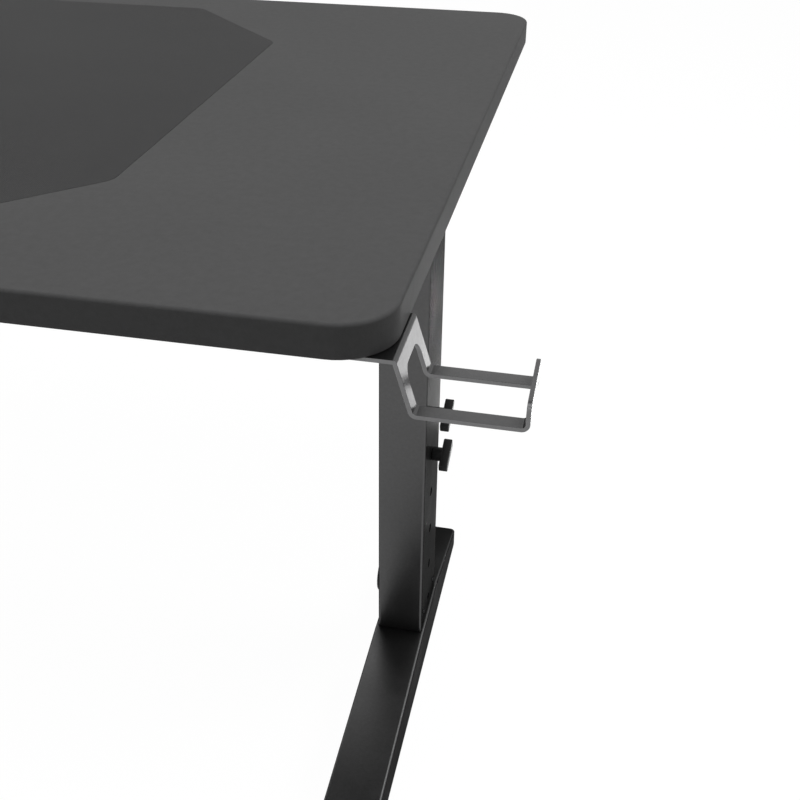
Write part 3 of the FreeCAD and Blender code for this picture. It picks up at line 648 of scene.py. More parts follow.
# Painted highlight: the edges of the frame paint are lightened strongly into a bright line along them, over a
# little rubbed wear.
FRAME_PAINT = PowderCoat(Slot.FRAME, (0.084, 0.084, 0.0845), roughness=0.32, metallic=1.0, edge_tint=0.0,
                         rub_and_highlight_gain=3.6, rub_and_highlight_reach=0.0008)
# Painted shade: near-black finish on the walls of the sleeve's punched holes.
HOLE_WALL_SHADE = PowderCoat(Slot.FRAME, (0.008, 0.008, 0.0082), roughness=0.6, metallic=1.0, edge_tint=0.0,
                          rub_and_highlight_gain=1.2, variant="_hole")
POST_PAINT = PowderCoat(Slot.POST, (0.03, 0.03, 0.031), roughness=0.4, metallic=0.9, specular=0.1,
                        edge_tint=0.1)
HOOK_PAINT = PowderCoat(Slot.HOOK, (0.056, 0.056, 0.057), roughness=0.28, metallic=0.9, rub_and_highlight_reach=0.0006)
# Painted highlight: a lighter finish on the hook's edges that face front and back.
HOOK_EDGE_HIGHLIGHT = PowderCoat(Slot.HOOK, (0.17, 0.17, 0.172), roughness=0.34, metallic=0.9, rub_and_highlight_reach=0.0004,
                           rub_and_highlight_gain=1.3, variant="_cut_edge")
BLACK_PLASTIC = MouldedPlastic(Slot.PLASTIC, (0.008, 0.008, 0.0082), roughness=0.48, specular=0.2)
ZINC = ZincPlate(Slot.ZINC, (0.55, 0.56, 0.58), roughness=0.34, metallic=1.0)
BLACK_ZINC = ZincPlate(Slot.ZINC, (0.035, 0.035, 0.036), roughness=0.4, metallic=1.0, edge_tint=0.1,
                       variant="_black")


# Tests that pick faces by centre and normal, or edges by middle and direction

FACING = 0.9
LEVEL = 0.1
NEARLY = 0.99


def upright(middle: Vector, along: Vector) -> bool:
    """Whether an edge runs along Z."""
    return abs(along.z) > FACING


def level(middle: Vector, along: Vector) -> bool:
    """Whether an edge runs level."""
    return abs(along.z) < LEVEL


def facing_up(centre: Vector, normal: Vector) -> bool:
    """Whether a face looks up."""
    return normal.z > FACING


def facing_down(centre: Vector, normal: Vector) -> bool:
    """Whether a face looks down."""
    return normal.z < -FACING


def at_top(height: float) -> Test:
    """Test for the upper edges of a blank that stands on Z = 0."""
    return lambda middle, along: middle.z > height * NEARLY


def at_bottom(height: float) -> Test:
    """Test for the lower edges of a blank that stands on Z = 0."""
    return lambda middle, along: middle.z < height * (1.0 - NEARLY)


def flat_top(height: float) -> Test:
    """Test for the flat upper face of a blank that stands on Z = 0."""
    return lambda centre, normal: normal.z > NEARLY and centre.z > height * NEARLY


# Modelling calls


class Bench:
    """Short calls for modelling with Blender's operators."""

    @staticmethod
    def clear() -> None:
        """Leave edit mode and deselect everything."""
        if bpy.context.mode != "OBJECT":
            bpy.ops.object.mode_set(mode="OBJECT")
        bpy.ops.object.select_all(action="DESELECT")

    @staticmethod
    def take(piece: Piece) -> None:
        """Select one object alone and make it active.

        Args:
            piece: Object to take.
        """
        Bench.clear()
        piece.select_set(True)
        bpy.context.view_layer.objects.active = piece

    @staticmethod
    def put(piece: Piece, place: Matrix) -> None:
        """Move a piece to its place and put the place into its mesh.

        Args:
            piece: Piece about the origin.
            place: Where it goes.
        """
        Bench.take(piece)
        piece.matrix_world = place
        bpy.ops.object.transform_apply(location=True, rotation=True, scale=True)

    @staticmethod
    @contextmanager
    def editing(piece: Piece) -> Iterator[None]:
        """Edit one object's mesh with nothing selected in it at the start.

        Args:
            piece: Object to edit.
        """
        Bench.take(piece)
        bpy.ops.object.mode_set(mode="EDIT")
        bpy.ops.mesh.select_all(action="DESELECT")
        yield
        bpy.ops.object.mode_set(mode="OBJECT")

    @staticmethod
    @contextmanager
    def selecting(kind: str) -> Iterator[bmesh.types.BMesh]:
        """Select faces or edges anew in the mesh that is edited.

        Args:
            kind: FACE or EDGE.

        Yields:
            The mesh while the selection is made.
        """
        bpy.ops.mesh.select_mode(type=kind)
        bpy.ops.mesh.select_all(action="DESELECT")
        mesh = bpy.context.edit_object.data
        yield bmesh.from_edit_mesh(mesh)
        bmesh.update_edit_mesh(mesh)

    @staticmethod
    def pick_faces(wanted: Test) -> None:
        """Select the faces whose centre and normal pass a test.

        Args:
            wanted: Test of a face.
        """
        with Bench.selecting("FACE") as shape:
            for face in shape.faces:
                face.select_set(wanted(face.calc_center_median(), face.normal))

    @staticmethod
    def pick_edges(wanted: Test) -> None:
        """Select the edges whose middle and direction pass a test.

        Args:
            wanted: Test of an edge.
        """
        with Bench.selecting("EDGE") as shape:
            for edge in shape.edges:
                start, end = (vertex.co for vertex in edge.verts)
                if wanted((start + end) / 2, (end - start).normalized()):
                    edge.select_set(True)

    @staticmethod
    def round_edges(wanted: Test, width: float, segments: int) -> None:
        """Round the edges that pass a test."""
        Bench.pick_edges(wanted)
        bpy.ops.mesh.bevel(offset=width, segments=segments, affect="EDGES")

    @staticmethod
    def push(move: Sequence[float]) -> None:
        """Extrude the selected faces by a move."""
        bpy.ops.mesh.extrude_region_move(TRANSFORM_OT_translate={"value": tuple(move)})

    @staticmethod
    def grow(factor: float, height: float) -> None:
        """Scale the selection in X and Y about the Z axis at a height."""
        bpy.ops.transform.resize(value=(factor, factor, 1.0), center_override=(0.0, 0.0, height))

    @staticmethod
    def draw_shank(head_radius: float, radius: float, length: float) -> None:
        """Draw a plain shank out of the underside of a round head.

        Args:
            head_radius: Radius of the head's underside.
            radius: Radius of the shank.
            length: Length of the shank.
        """
        Bench.pick_faces(facing_down)
        bpy.ops.mesh.inset(thickness=head_radius - radius)
        Bench.push((0.0, 0.0, -length))

    @staticmethod
    def settle(name: str) -> Piece:
        """Name the active object and put its place into its mesh.

        Args:
            name: Name of the object.

        Returns:
            The object.
        """
        piece = bpy.context.active_object
        piece.name = piece.data.name = name
        bpy.ops.object.transform_apply(location=True, rotation=True, scale=True)
        return piece

    @staticmethod
    def drum(name: str, sides: int, radius: float, low: float, high: float) -> Piece:
        """Round blank about the Z axis, as a start.

        Args:
            name: Name of the object.
            sides: Corners of the round.
            radius: Radius of the round.
            low: Lower level.
            high: Upper level.

        Returns:
            The blank.
        """
        Bench.clear()
        middle = (0.0, 0.0, (low + high) / 2)
        bpy.ops.mesh.primitive_cylinder_add(vertices=sides, radius=radius, depth=high - low, location=middle)
        return Bench.settle(name)

    @staticmethod
    def slab(name: str, low: Sequence[float], high: Sequence[float]) -> Piece:
        """Square blank between two corners, as a start.

        Args:
            name: Name of the object.
            low: Lowest corner.
            high: Highest corner.

        Returns:
            The blank.
        """
        Bench.clear()
        size = Vector(high) - Vector(low)
        bpy.ops.mesh.primitive_cube_add(size=1.0, location=(Vector(low) + Vector(high)) / 2, scale=size)
        return Bench.settle(name)

    @staticmethod
    def ringed_bar(name: str, sides: int, radii: Sequence[float], step: float) -> Piece:
        """Bar along Z built ring by ring, as for ridges of a thread or ripples of a weld.

        Args:
            name: Name of the object.
            sides: Corners of each ring.
            radii: Radius of each ring from the lower end.
            step: Height from ring to ring.

        Returns:
            The bar, closed at both ends.
        """
        Bench.clear()
        origin = (0.0, 0.0, 0.0)
        bpy.ops.mesh.primitive_circle_add(vertices=sides, radius=radii[0], fill_type="NGON", location=origin)
        piece = Bench.settle(name)
        with Bench.editing(piece):
            bpy.ops.mesh.select_mode(type="FACE")
            bpy.ops.mesh.select_all(action="SELECT")
            for index, (before, radius) in enumerate(zip(radii, radii[1:]), start=1):
                Bench.push((0.0, 0.0, step))
                Bench.grow(radius / before, index * step)
        return piece

    @staticmethod
    def modify(piece: Piece, kind: str, **settings: object) -> None:
        """Add one modifier and apply it.

        Args:
            piece: Piece to change.
            kind: Type of the modifier.
            settings: Settings of the modifier.
        """
        Bench.take(piece)
        bpy.ops.object.modifier_add(type=kind)
        modifier = piece.modifiers[-1]
        for key, value in settings.items():
            setattr(modifier, key, value)
        bpy.ops.object.modifier_apply(modifier=modifier.name)

    @staticmethod
    def combine(piece: Piece, tool: Piece, operation: str) -> None:
        """Unite a piece with a tool, or cut it, and delete the tool."""
        Bench.modify(piece, "BOOLEAN", operation=operation, object=tool, solver="EXACT")
        bpy.data.objects.remove(tool)

    @staticmethod
    def soften(piece: Piece, degrees: float = 32.0) -> None:
        """Merge doubles, turn the normals outwards and shade smooth below an angle.

        Args:
            piece: Piece to finish.
            degrees: Angle up to which an edge is smooth.
        """
        with Bench.editing(piece):
            bpy.ops.mesh.select_all(action="SELECT")
            bpy.ops.mesh.remove_doubles(threshold=MERGE_DISTANCE)
            bpy.ops.mesh.normals_make_consistent(inside=False)
        Bench.take(piece)
        bpy.ops.object.shade_smooth_by_angle(angle=math.radians(degrees))

    @staticmethod
    def join(pieces: Sequence[Piece], name: str) -> Piece:
        """Join objects into the first one.

        Args:
            pieces: Objects to join.
            name: Name of the whole.

        Returns:
            The joined object.
        """
        Bench.take(pieces[0])
        for piece in pieces:
            piece.select_set(True)
        bpy.ops.object.join()
        joined = bpy.context.active_object
        joined.name = joined.data.name = name
        return joined

    @staticmethod
    def spread(master: Piece, name: str, places: Sequence[Matrix]) -> Piece:
        """Copy a master to several places, each copy with its own mesh, and delete the master.

        Args:
            master: Finished shape about the origin.
            name: Name of the set.
            places: Where each copy goes.

        Returns:
            The copies, joined into one object.
        """
        copies = []
        for place in places:
            piece = master.copy()
            piece.data = master.data.copy()
            bpy.context.scene.collection.objects.link(piece)
            Bench.put(piece, place)
            copies.append(piece)
        bpy.data.objects.remove(master)
        return Bench.join(copies, name)


def aim(point: Sequence[float], direction: Sequence[float]) -> Matrix:
    """Place that turns +Z to a direction and moves the origin to a point."""
    turn = Vector((0.0, 0.0, 1.0)).rotation_difference(Vector(direction))
    return Matrix.Translation(Vector(point)) @ turn.to_matrix().to_4x4()


class Fixing(Protocol):
    """Screw, bolt or rivet about the Z axis, head to +Z and seat at Z = 0."""

    @property
    def head_height(self) -> float:
        """Height of the head above the seat."""

    def build(self, name: str, shank: float) -> Piece:
        """Model the fixing with a shank of the given length."""


class Workshop:
    """The loaded frame, with calls that hand finished pieces over to it."""

    FLAT_ANGLE = math.radians(0.3)
    SHARP_ANGLE = math.radians(50.0)
    SMOOTH_ANGLE = math.radians(40.0)

    def __init__(self) -> None:
        """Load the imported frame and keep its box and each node's body."""
        self.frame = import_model()
        self.cad_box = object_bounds()
        bodies = self.frame["record"]["behaviour"]["bodies"]
        self.owner = {node: body for body, nodes in bodies.items() for node in nodes}

    def paint(self, node: str, finish: Finish) -> None:
        """Give a shown CAD node a finish.

        Args:
            node: CAD node.
            finish: Finish of all its faces.
        """
        materials = self.frame["nodes"][node].data.materials
        materials.clear()
        materials.append(finish.material())
        log.info("node %s painted with %s", node, finish.title)

    def hand_over(self, piece: Piece, finish: Finish, *nodes: str, body: str = "") -> None:
        """Dress a finished piece, let it ride and let it stand for CAD nodes.

        Args:
            piece: Finished piece.
            finish: Finish of all its faces.
            nodes: CAD nodes that it replaces.
            body: Body that it rides on, where it replaces no node.
        """
        piece.data.materials.clear()
        piece.data.materials.append(finish.material())
        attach(piece, body or self.owner[nodes[0]])
        if nodes:
            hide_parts(*nodes)
        log.info("piece %s built with %d faces", piece.name, len(piece.data.polygons))

    def solids(self, node: str) -> list[Box]:
        """Find the separate solids of a CAD node.

        Args:
            node: CAD node.

        Returns:
            The box of each solid, sorted by its lowest corner.
        """
        shape = bmesh.new()
        shape.from_mesh(self.frame["nodes"][node].data)
        bmesh.ops.remove_doubles(shape, verts=shape.verts, dist=MERGE_DISTANCE)
        waiting = set(shape.verts)
        boxes = []
        while waiting:
            front = [waiting.pop()]
            corners = []
            while front:
                vertex = front.pop()
                corners.append(vertex.co.copy())
                near = {edge.other_vert(vertex) for edge in vertex.link_edges} & waiting
                waiting -= near
                front.extend(near)
            low = Vector([min(corner[axis] for corner in corners) for axis in range(3)])
            high = Vector([max(corner[axis] for corner in corners) for axis in range(3)])
            boxes.append((low, high))
        shape.free()
        return sorted(boxes, key=lambda box: tuple(round(value, 6) for value in box[0]))

    def set_fixings(self, node: str, fixing: Fixing, finish: Finish, heading: Heading,
                    twist: float = 0.0) -> None:
        """Put a fixing at each solid of a CAD node, as one set that replaces the node.

        Args:
            node: CAD node of plain fixings of one length.
            fixing: Fixing to model.
            finish: Finish of the set.
            heading: Where the heads point.
            twist: Turn about its own axis from each fixing to the next.
        """
        places = []
        for index, (low, high) in enumerate(self.solids(node)):
            middle = (low + high) / 2
            direction = heading.direction(middle)
            length = abs((high - low).dot(direction))
            seat = middle + direction * (length / 2 - fixing.head_height)
            places.append(aim(seat, direction) @ Matrix.Rotation(twist * index, 4, "Z"))
        master = fixing.build(node + "_master", length - fixing.head_height)
        self.hand_over(Bench.spread(master, node + "_set", places), finish, node)

    def eased(self, node: str, finish: Finish, ease: float,
              reshape: Callable[[Piece], None] | None = None) -> Piece:
        """Copy of a CAD node with its sharp edges broken, which replaces the node.

        Args:
            node: CAD node.
            finish: Finish of the copy.
            ease: Width of the broken edge.
            reshape: Change to the merged copy before its edges are broken.

        Returns:
            The copy.
        """
        source = self.frame["nodes"][node]
        piece = bpy.data.objects.new(node + "_eased", source.data.copy())
        bpy.context.scene.collection.objects.link(piece)
        with Bench.editing(piece):
            bpy.ops.mesh.customdata_custom_splitnormals_clear()
            bpy.ops.mesh.select_all(action="SELECT")
            bpy.ops.mesh.remove_doubles(threshold=MERGE_DISTANCE)
            bpy.ops.mesh.dissolve_limited(angle_limit=self.FLAT_ANGLE)
        if reshape:
            reshape(piece)
        Bench.modify(piece, "BEVEL", width=ease, segments=2, limit_method="ANGLE",
                     angle_limit=self.SHARP_ANGLE, use_clamp_overlap=False, miter_outer="MITER_SHARP")
        Bench.take(piece)
        bpy.ops.object.shade_smooth_by_angle(angle=self.SMOOTH_ANGLE)
        Bench.modify(piece, "WEIGHTED_NORMAL", keep_sharp=True)
        self.hand_over(piece, finish, node)
        return piece


# Small fixings


@dataclass
class PanScrew:
    """Pan head wood screw with a cross recess, head to +Z and seat at Z = 0."""

    head_radius: float = 0.005
    head_height: float = 0.003
    shank_radius: float = 0.0025
    recess_length: float = 0.0052
    recess_width: float = 0.0011
    recess_depth: float = 0.0017
    recess_taper_share: float = 0.45
    dome_share: float = 0.62
    overrun_share: float = 1.2
    sides: int = 28

    def build(self, name: str, shank: float) -> Piece:
        """Model a domed head with its recess and a plain shank.

        Args:
            name: Name of the screw.
            shank: Length of the shank.

        Returns:
            The screw.
        """
        piece = Bench.drum(name, self.sides, self.head_radius, 0.0, self.head_height)
        with Bench.editing(piece):
            Bench.round_edges(at_top(self.head_height), self.head_height * self.dome_share, segments=5)
            Bench.draw_shank(self.head_radius, self.shank_radius, shank)
        for turn in (0.0, math.pi / 2):
            Bench.combine(piece, self.recess_blade(turn), "DIFFERENCE")
        Bench.soften(piece)
        return piece

    def recess_blade(self, turn: float) -> Piece:
        """Model the tapered blade that cuts one arm pair of the recess.

        Args:
            turn: Angle of the blade about Z.

        Returns:
            The blade.
        """
        half = Vector((self.recess_length / 2, self.recess_width / 2))
        floor = self.head_height - self.recess_depth
        top = self.head_height * self.overrun_share
        blade = Bench.slab("recess_blade", (-half.x, -half.y, floor), (half.x, half.y, top))
        with Bench.editing(blade):
            Bench.pick_faces(facing_down)
            Bench.grow(self.recess_taper_share, floor)
        Bench.take(blade)
        blade.rotation_euler.z = turn
        bpy.ops.object.transform_apply(rotation=True)
        return blade


@dataclass
class HexBolt:
    """Hexagon bolt on a flat washer, head to +Z and the washer's seat at Z = 0."""

    thread_radius: float
    washer_height: float
    head_width_share: float = 1.65
    head_height_share: float = 0.65
    corner_round_share: float = 0.07
    chamfer_share: float = 0.11
    chamfer_rise_share: float = 0.07
    rim_share: float = 0.18
    dish_share: float = 0.05
    washer_share: float = 2.05
    washer_round_share: float = 0.3
    washer_sides: int = 32

    @property
    def head_height(self) -> float:
        """Height of head and washer above the seat."""
        return 2 * self.thread_radius * self.head_height_share

    def build(self, name: str, shank: float) -> Piece:
        """Model a chamfered head, a washer and a plain shank.

        Args:
            name: Name of the bolt.
            shank: Length of the shank.

        Returns:
            The bolt.
        """
        diameter = 2 * self.thread_radius
        corner = diameter * self.head_width_share / math.sqrt(3)
        head = Bench.drum(name, 6, corner, self.washer_height, self.head_height)
        with Bench.editing(head):
            Bench.round_edges(upright, corner * self.corner_round_share, segments=2)
            Bench.pick_faces(facing_up)
            bpy.ops.mesh.inset(thickness=corner * self.chamfer_share, depth=corner * self.chamfer_rise_share)
            bpy.ops.mesh.inset(thickness=corner * self.rim_share)
            bpy.ops.mesh.inset(thickness=corner * self.dish_share, depth=-corner * self.dish_share)
        washer_radius = diameter * self.washer_share / 2
        washer = Bench.drum("washer", self.washer_sides, washer_radius, 0.0, self.washer_height)
        washer_round = self.washer_height * self.washer_round_share
        with Bench.editing(washer):
            Bench.round_edges(at_top(self.washer_height), washer_round, segments=2)
            Bench.draw_shank(washer_radius, self.thread_radius, shank)
        bolt = Bench.join([head, washer], name)
        Bench.soften(bolt)
        return bolt


@dataclass
class BlindRivet:
    """Domed blind rivet with the dimple of its mandrel, head to +Z and seat at Z = 0."""

    head_radius: float = 0.00325
    head_height: float = 0.0012
    shank_radius: float = 0.00175
    dome_share: float = 0.75
    dimple_radius: float = 0.001
    dimple_depth: float = 0.0005
    dimple_wall_share: float = 0.2
    sides: int = 24

    def build(self, name: str, shank: float) -> Piece:
        """Model a domed head, its dimple and a plain shank.

        Args:
            name: Name of the rivet.
            shank: Length of the shank.

        Returns:
            The rivet.
        """
        dome = self.head_height * self.dome_share
        wall = self.dimple_radius * self.dimple_wall_share
        piece = Bench.drum(name, self.sides, self.head_radius, 0.0, self.head_height)
        with Bench.editing(piece):
            Bench.round_edges(at_top(self.head_height), dome, segments=4)
            Bench.pick_faces(flat_top(self.head_height))
            bpy.ops.mesh.inset(thickness=self.head_radius - dome - self.dimple_radius)
            bpy.ops.mesh.inset(thickness=wall, depth=-self.dimple_depth)
            Bench.draw_shank(self.head_radius, self.shank_radius, shank)
        Bench.soften(piece)
        return piece


@dataclass
class ThreadedRod:
    """Stud with a rolled thread, from Z = 0 upwards."""

    radius: float = 0.004
    pitch: float = 0.00125
    depth: float = 0.0006
    sides: int = 18
    smooth_degrees: float = 25.0

    def build(self, name: str, length: float) -> Piece:
        """Model ridges along the whole length, with a chamfer at both ends.

        Args:
            name: Name of the stud.
            length: Length of the stud.

        Returns:
            The stud.
        """
        ridges = max(2, round(length / self.pitch))
        root = self.radius - self.depth
        radii = [root] + [self.radius, root] * ridges
        rod = Bench.ringed_bar(name, self.sides, radii, length / (2 * ridges))
        Bench.soften(rod, self.smooth_degrees)
        return rod


@dataclass
class WeldBead:
    """Rippled fillet weld along Z, from Z = 0 upwards."""

    radius: float = 0.0022
    ripple: float = 0.0024
    dip_share: float = 0.86
    end_share: float = 0.35
    sides: int = 10
    smooth_degrees: float = 60.0

    def build(self, name: str, length: float) -> Piece:
        """Model ripples with tapered ends.

        Args:
            name: Name of the bead.
            length: Length of the bead.

        Returns:
            The bead.
        """
        ripples = max(3, round(length / self.ripple))
        radii = [self.radius * self.end_share] + [self.radius, self.radius * self.dip_share] * ripples
        radii[-1] = radii[0]
        bead = Bench.ringed_bar(name, self.sides, radii, length / (2 * ripples))
        Bench.soften(bead, self.smooth_degrees)
        return bead


# Sub-assemblies


@dataclass
class Top:
    """Board with its mouse surface, the headphone hook and the screws under them."""

    shop: Workshop
    board_ease: float = 0.0004
    board_corner: float = 0.04
    solid_round: float = 0.0055
    pressed_round: float = 0.0026
    hook_ease: float = 0.0004
    highlight_edge_lean: float = 0.7
    screw: PanScrew = field(default_factory=PanScrew)
    screw_twist: float = 0.7

    def build(self) -> None:
        """Ease the board and the hook and set the screws."""
        self.shop.eased("tabletop", BOARD_FOIL, self.board_ease, self.press_round)
        self.paint_edge_highlight(self.shop.eased("headphone_hook", HOOK_PAINT, self.hook_ease))
        for node in ("bracket_screws", "hook_screws"):
            self.shop.set_fixings(node, self.screw, ZINC, Heading.DOWN, self.screw_twist)

    def dress(self) -> None:
        """Give the mouse surface its cloth."""
        self.shop.paint("mouse_surface", MOUSE_CLOTH)

    def press_round(self, board: Piece) -> None:
        """Press the round of the board's upper edge tighter than the solid's, within the same outline.

        Args:
            board: Merged copy of the board.
        """
        low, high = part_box("tabletop")
        inner = [(low[axis] + self.board_corner, high[axis] - self.board_corner) for axis in (0, 1)]
        for vertex in board.data.vertices:
            flat = vertex.co.xy
            core = Vector([min(max(flat[axis], inner[axis][0]), inner[axis][1]) for axis in (0, 1)])
            reach = (flat - core).length
            rise = vertex.co.z - high.z + self.solid_round
            if rise < -MERGE_DISTANCE or reach < self.board_corner - self.solid_round - MERGE_DISTANCE:
                continue
            lean = math.acos(min(1.0, max(0.0, rise / self.solid_round)))
            reach_now = self.board_corner - self.pressed_round * (1.0 - math.sin(lean))
            vertex.co.xy = core + (flat - core) * (reach_now / reach)
            vertex.co.z = high.z - self.pressed_round * (1.0 - math.cos(lean))

    def paint_edge_highlight(self, hook: Piece) -> None:
        """Give the hook's cut edges that face front and back a lighter finish, a painted highlight.

        Args:
            hook: Eased copy of the hook.
        """
        hook.data.materials.append(HOOK_EDGE_HIGHLIGHT.material())
        for face in hook.data.polygons:
            face.material_index = int(abs(face.normal.y) > self.highlight_edge_lean)


@dataclass
class Underframe:
    """Side brackets and cross rails under the board, with their bolts and welds."""

    shop: Workshop
    ease: float = 0.0004
    bolt: HexBolt = field(default_factory=lambda: HexBolt(thread_radius=0.003, washer_height=0.001))
    bead: WeldBead = field(default_factory=WeldBead)

    def build(self) -> None:
        """Ease the sheet metal, lay the welds and set the bolts."""
        for side in Side:
            self.shop.eased("side_bracket" + side.suffix, FRAME_PAINT, self.ease)
            self.lay_welds(side)
        for place in ("front", "back"):
            self.shop.eased("cross_rail_" + place, FRAME_PAINT, self.ease)
        self.shop.set_fixings("rail_bolts", self.bolt, ZINC, Heading.OUTWARD)

    def lay_welds(self, side: Side) -> None:
        """Lay a fillet weld along each flange's lower edge where the sleeve enters the bracket.

        Args:
            side: Side of the bracket.
        """
        sleeve = "leg_sleeve" + side.suffix
        low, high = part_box(sleeve)
        level_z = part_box("side_bracket" + side.suffix)[0].z
        inset = self.bead.ripple * 2
        places = [aim((x, low.y + inset, level_z), (0.0, 1.0, 0.0)) for x in (low.x, high.x)]
        master = self.bead.build("weld_master", high.y - low.y - 2 * inset)
        welds = Bench.spread(master, "sleeve_welds" + side.suffix, places)
        self.shop.hand_over(welds, FRAME_PAINT, body=self.shop.owner[sleeve])


@dataclass
class Leg:
    """One telescopic leg: sleeve, post and foot, and the pieces that guide and carry them."""

    shop: Workshop
    side: Side
    sleeve_ease: float = 0.0003
    foot_ease: float = 0.0004
    hole_margin: float = 0.008
    wall_lean: float = 0.98

    def node(self, stem: str) -> str:
        """Name of this leg's node."""
        return stem + self.side.suffix

    def build(self) -> None:
        """Ease the sheet metal of this leg."""
        self.paint_hole_shade(self.shop.eased(self.node("leg_sleeve"), FRAME_PAINT, self.sleeve_ease))
        self.shop.eased(self.node("leg_post"), POST_PAINT, self.sleeve_ease)
        self.shop.eased(self.node("foot"), FRAME_PAINT, self.foot_ease)

    def paint_hole_shade(self, sleeve: Piece) -> None:
        """Give the walls of the punched holes a near-black finish, painted shade that makes the holes look
        dark inside.

        Args:
            sleeve: Eased copy of the sleeve.
        """
        low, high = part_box(self.node("leg_sleeve"))
        sleeve.data.materials.append(HOLE_WALL_SHADE.material())
        for face in sleeve.data.polygons:
            depths = [min(face.center[axis] - low[axis], high[axis] - face.center[axis]) for axis in (1, 2)]
            if min(depths) > self.hole_margin and abs(face.normal.x) < self.wall_lean:
                face.material_index = 1

    def dress(self) -> None:
        """Paint the pieces inside the leg."""
        for stem in ("guide_collar", "clamp_pad", "post_cap"):
            self.shop.paint(self.node(stem), BLACK_PLASTIC)
        for stem in ("foot_stiffener", "glide_plates", "post_base", "clamp_bar"):
            self.shop.paint(self.node(stem), ZINC)


@dataclass
class LegFixings:
    """Rivets of the collars and bolts of the posts, on both legs."""

    shop: Workshop
    rivet: BlindRivet = field(default_factory=BlindRivet)
    bolt: HexBolt = field(default_factory=lambda: HexBolt(thread_radius=0.004, washer_height=0.0012))

    def build(self) -> None:
        """Set the rivets and the bolts."""
        self.shop.set_fixings("collar_rivets", self.rivet, BLACK_ZINC, Heading.OUTWARD)
        self.shop.set_fixings("post_bolts", self.bolt, ZINC, Heading.DOWN)


@dataclass
class ClampKnobs:
    """T-bar knobs of one leg's clamp and the round knob of its press screw, with their studs."""

    shop: Workshop
    side: Side
    bar_length: float = 0.042
    bar_width: float = 0.0115
    bar_thickness: float = 0.0104
    end_round: float = 0.003
    edge_round: float = 0.0012
    bar_turn: float = math.radians(19.0)
    hub_radius: float = 0.00825
    hub_round: float = 0.0008
    hub_sides: int = 40
    press_round: float = 0.0026
    press_dish: float = 0.0007
    press_rim: float = 0.0045
    press_sides: int = 56
    press_smooth_degrees: float = 40.0
    rod: ThreadedRod = field(default_factory=ThreadedRod)

    def build(self) -> None:
        """Model the knobs and cut their studs."""
        for place in ("lower", "upper"):
            self.mould_bar(place + "_knob" + self.side.suffix)
            self.cut_stud(place + "_stud" + self.side.suffix)
        self.mould_disc("press_knob" + self.side.suffix)
        self.cut_stud("press_stud" + self.side.suffix)

    def mould_bar(self, node: str) -> None:
        """Model a T-bar knob: a bar with rounded ends and edges on a round hub.

        Args:
            node: CAD node of the knob.
        """
        low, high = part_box(node)
        length = high.x - low.x
        half = Vector((self.bar_length / 2, self.bar_width / 2))
        base = length - self.bar_thickness
        bar = Bench.slab(node + "_moulded", (-half.x, -half.y, base), (half.x, half.y, length))
        with Bench.editing(bar):
            Bench.round_edges(upright, self.end_round, segments=5)
            Bench.round_edges(level, self.edge_round, segments=4)
        hub = Bench.drum("hub", self.hub_sides, self.hub_radius, 0.0, base + self.edge_round)
        with Bench.editing(hub):
            Bench.round_edges(at_bottom(base), self.hub_round, segments=3)
        Bench.combine(bar, hub, "UNION")
        Bench.soften(bar)
        middle = (low + high) / 2
        sign = self.side.value
        seat = Vector((low.x if self.side is Side.RIGHT else high.x, middle.y, middle.z))
        lying = Matrix(((0, 0, sign, 0), (1, 0, 0, 0), (0, sign, 0, 0), (0, 0, 0, 1)))
        Bench.put(bar, Matrix.Translation(seat) @ Matrix.Rotation(sign * self.bar_turn, 4, "X") @ lying)
        self.shop.hand_over(bar, BLACK_PLASTIC, node)

    def mould_disc(self, node: str) -> None:
        """Model a low round knob with a rounded rim and a dished face.

        Args:
            node: CAD node of the knob.
        """
        low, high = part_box(node)
        height = high.x - low.x
        disc = Bench.drum(node + "_moulded", self.press_sides, (high.y - low.y) / 2, 0.0, height)
        with Bench.editing(disc):
            Bench.round_edges(at_top(height), self.press_round, segments=5)
            Bench.pick_faces(flat_top(height))
            bpy.ops.mesh.inset(thickness=self.press_rim)
            bpy.ops.mesh.inset(thickness=self.press_dish * 2, depth=-self.press_dish)
            Bench.round_edges(at_bottom(height), self.press_dish / 2, segments=2)
        Bench.soften(disc, self.press_smooth_degrees)
        middle = (low + high) / 2
        start = high.x if self.side is Side.RIGHT else low.x
        Bench.put(disc, aim((start, middle.y, middle.z), (-self.side.value, 0.0, 0.0)))
        self.shop.hand_over(disc, BLACK_PLASTIC, node)

    def cut_stud(self, node: str) -> None:
        """Model a threaded stud in place of a plain one.

        Args:
            node: CAD node of the stud.
        """
        low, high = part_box(node)
        middle = (low + high) / 2
        rod = self.rod.build(node + "_threaded", high.x - low.x)
        Bench.put(rod, aim((low.x, middle.y, middle.z), (1.0, 0.0, 0.0)))
        self.shop.hand_over(rod, ZINC, node)


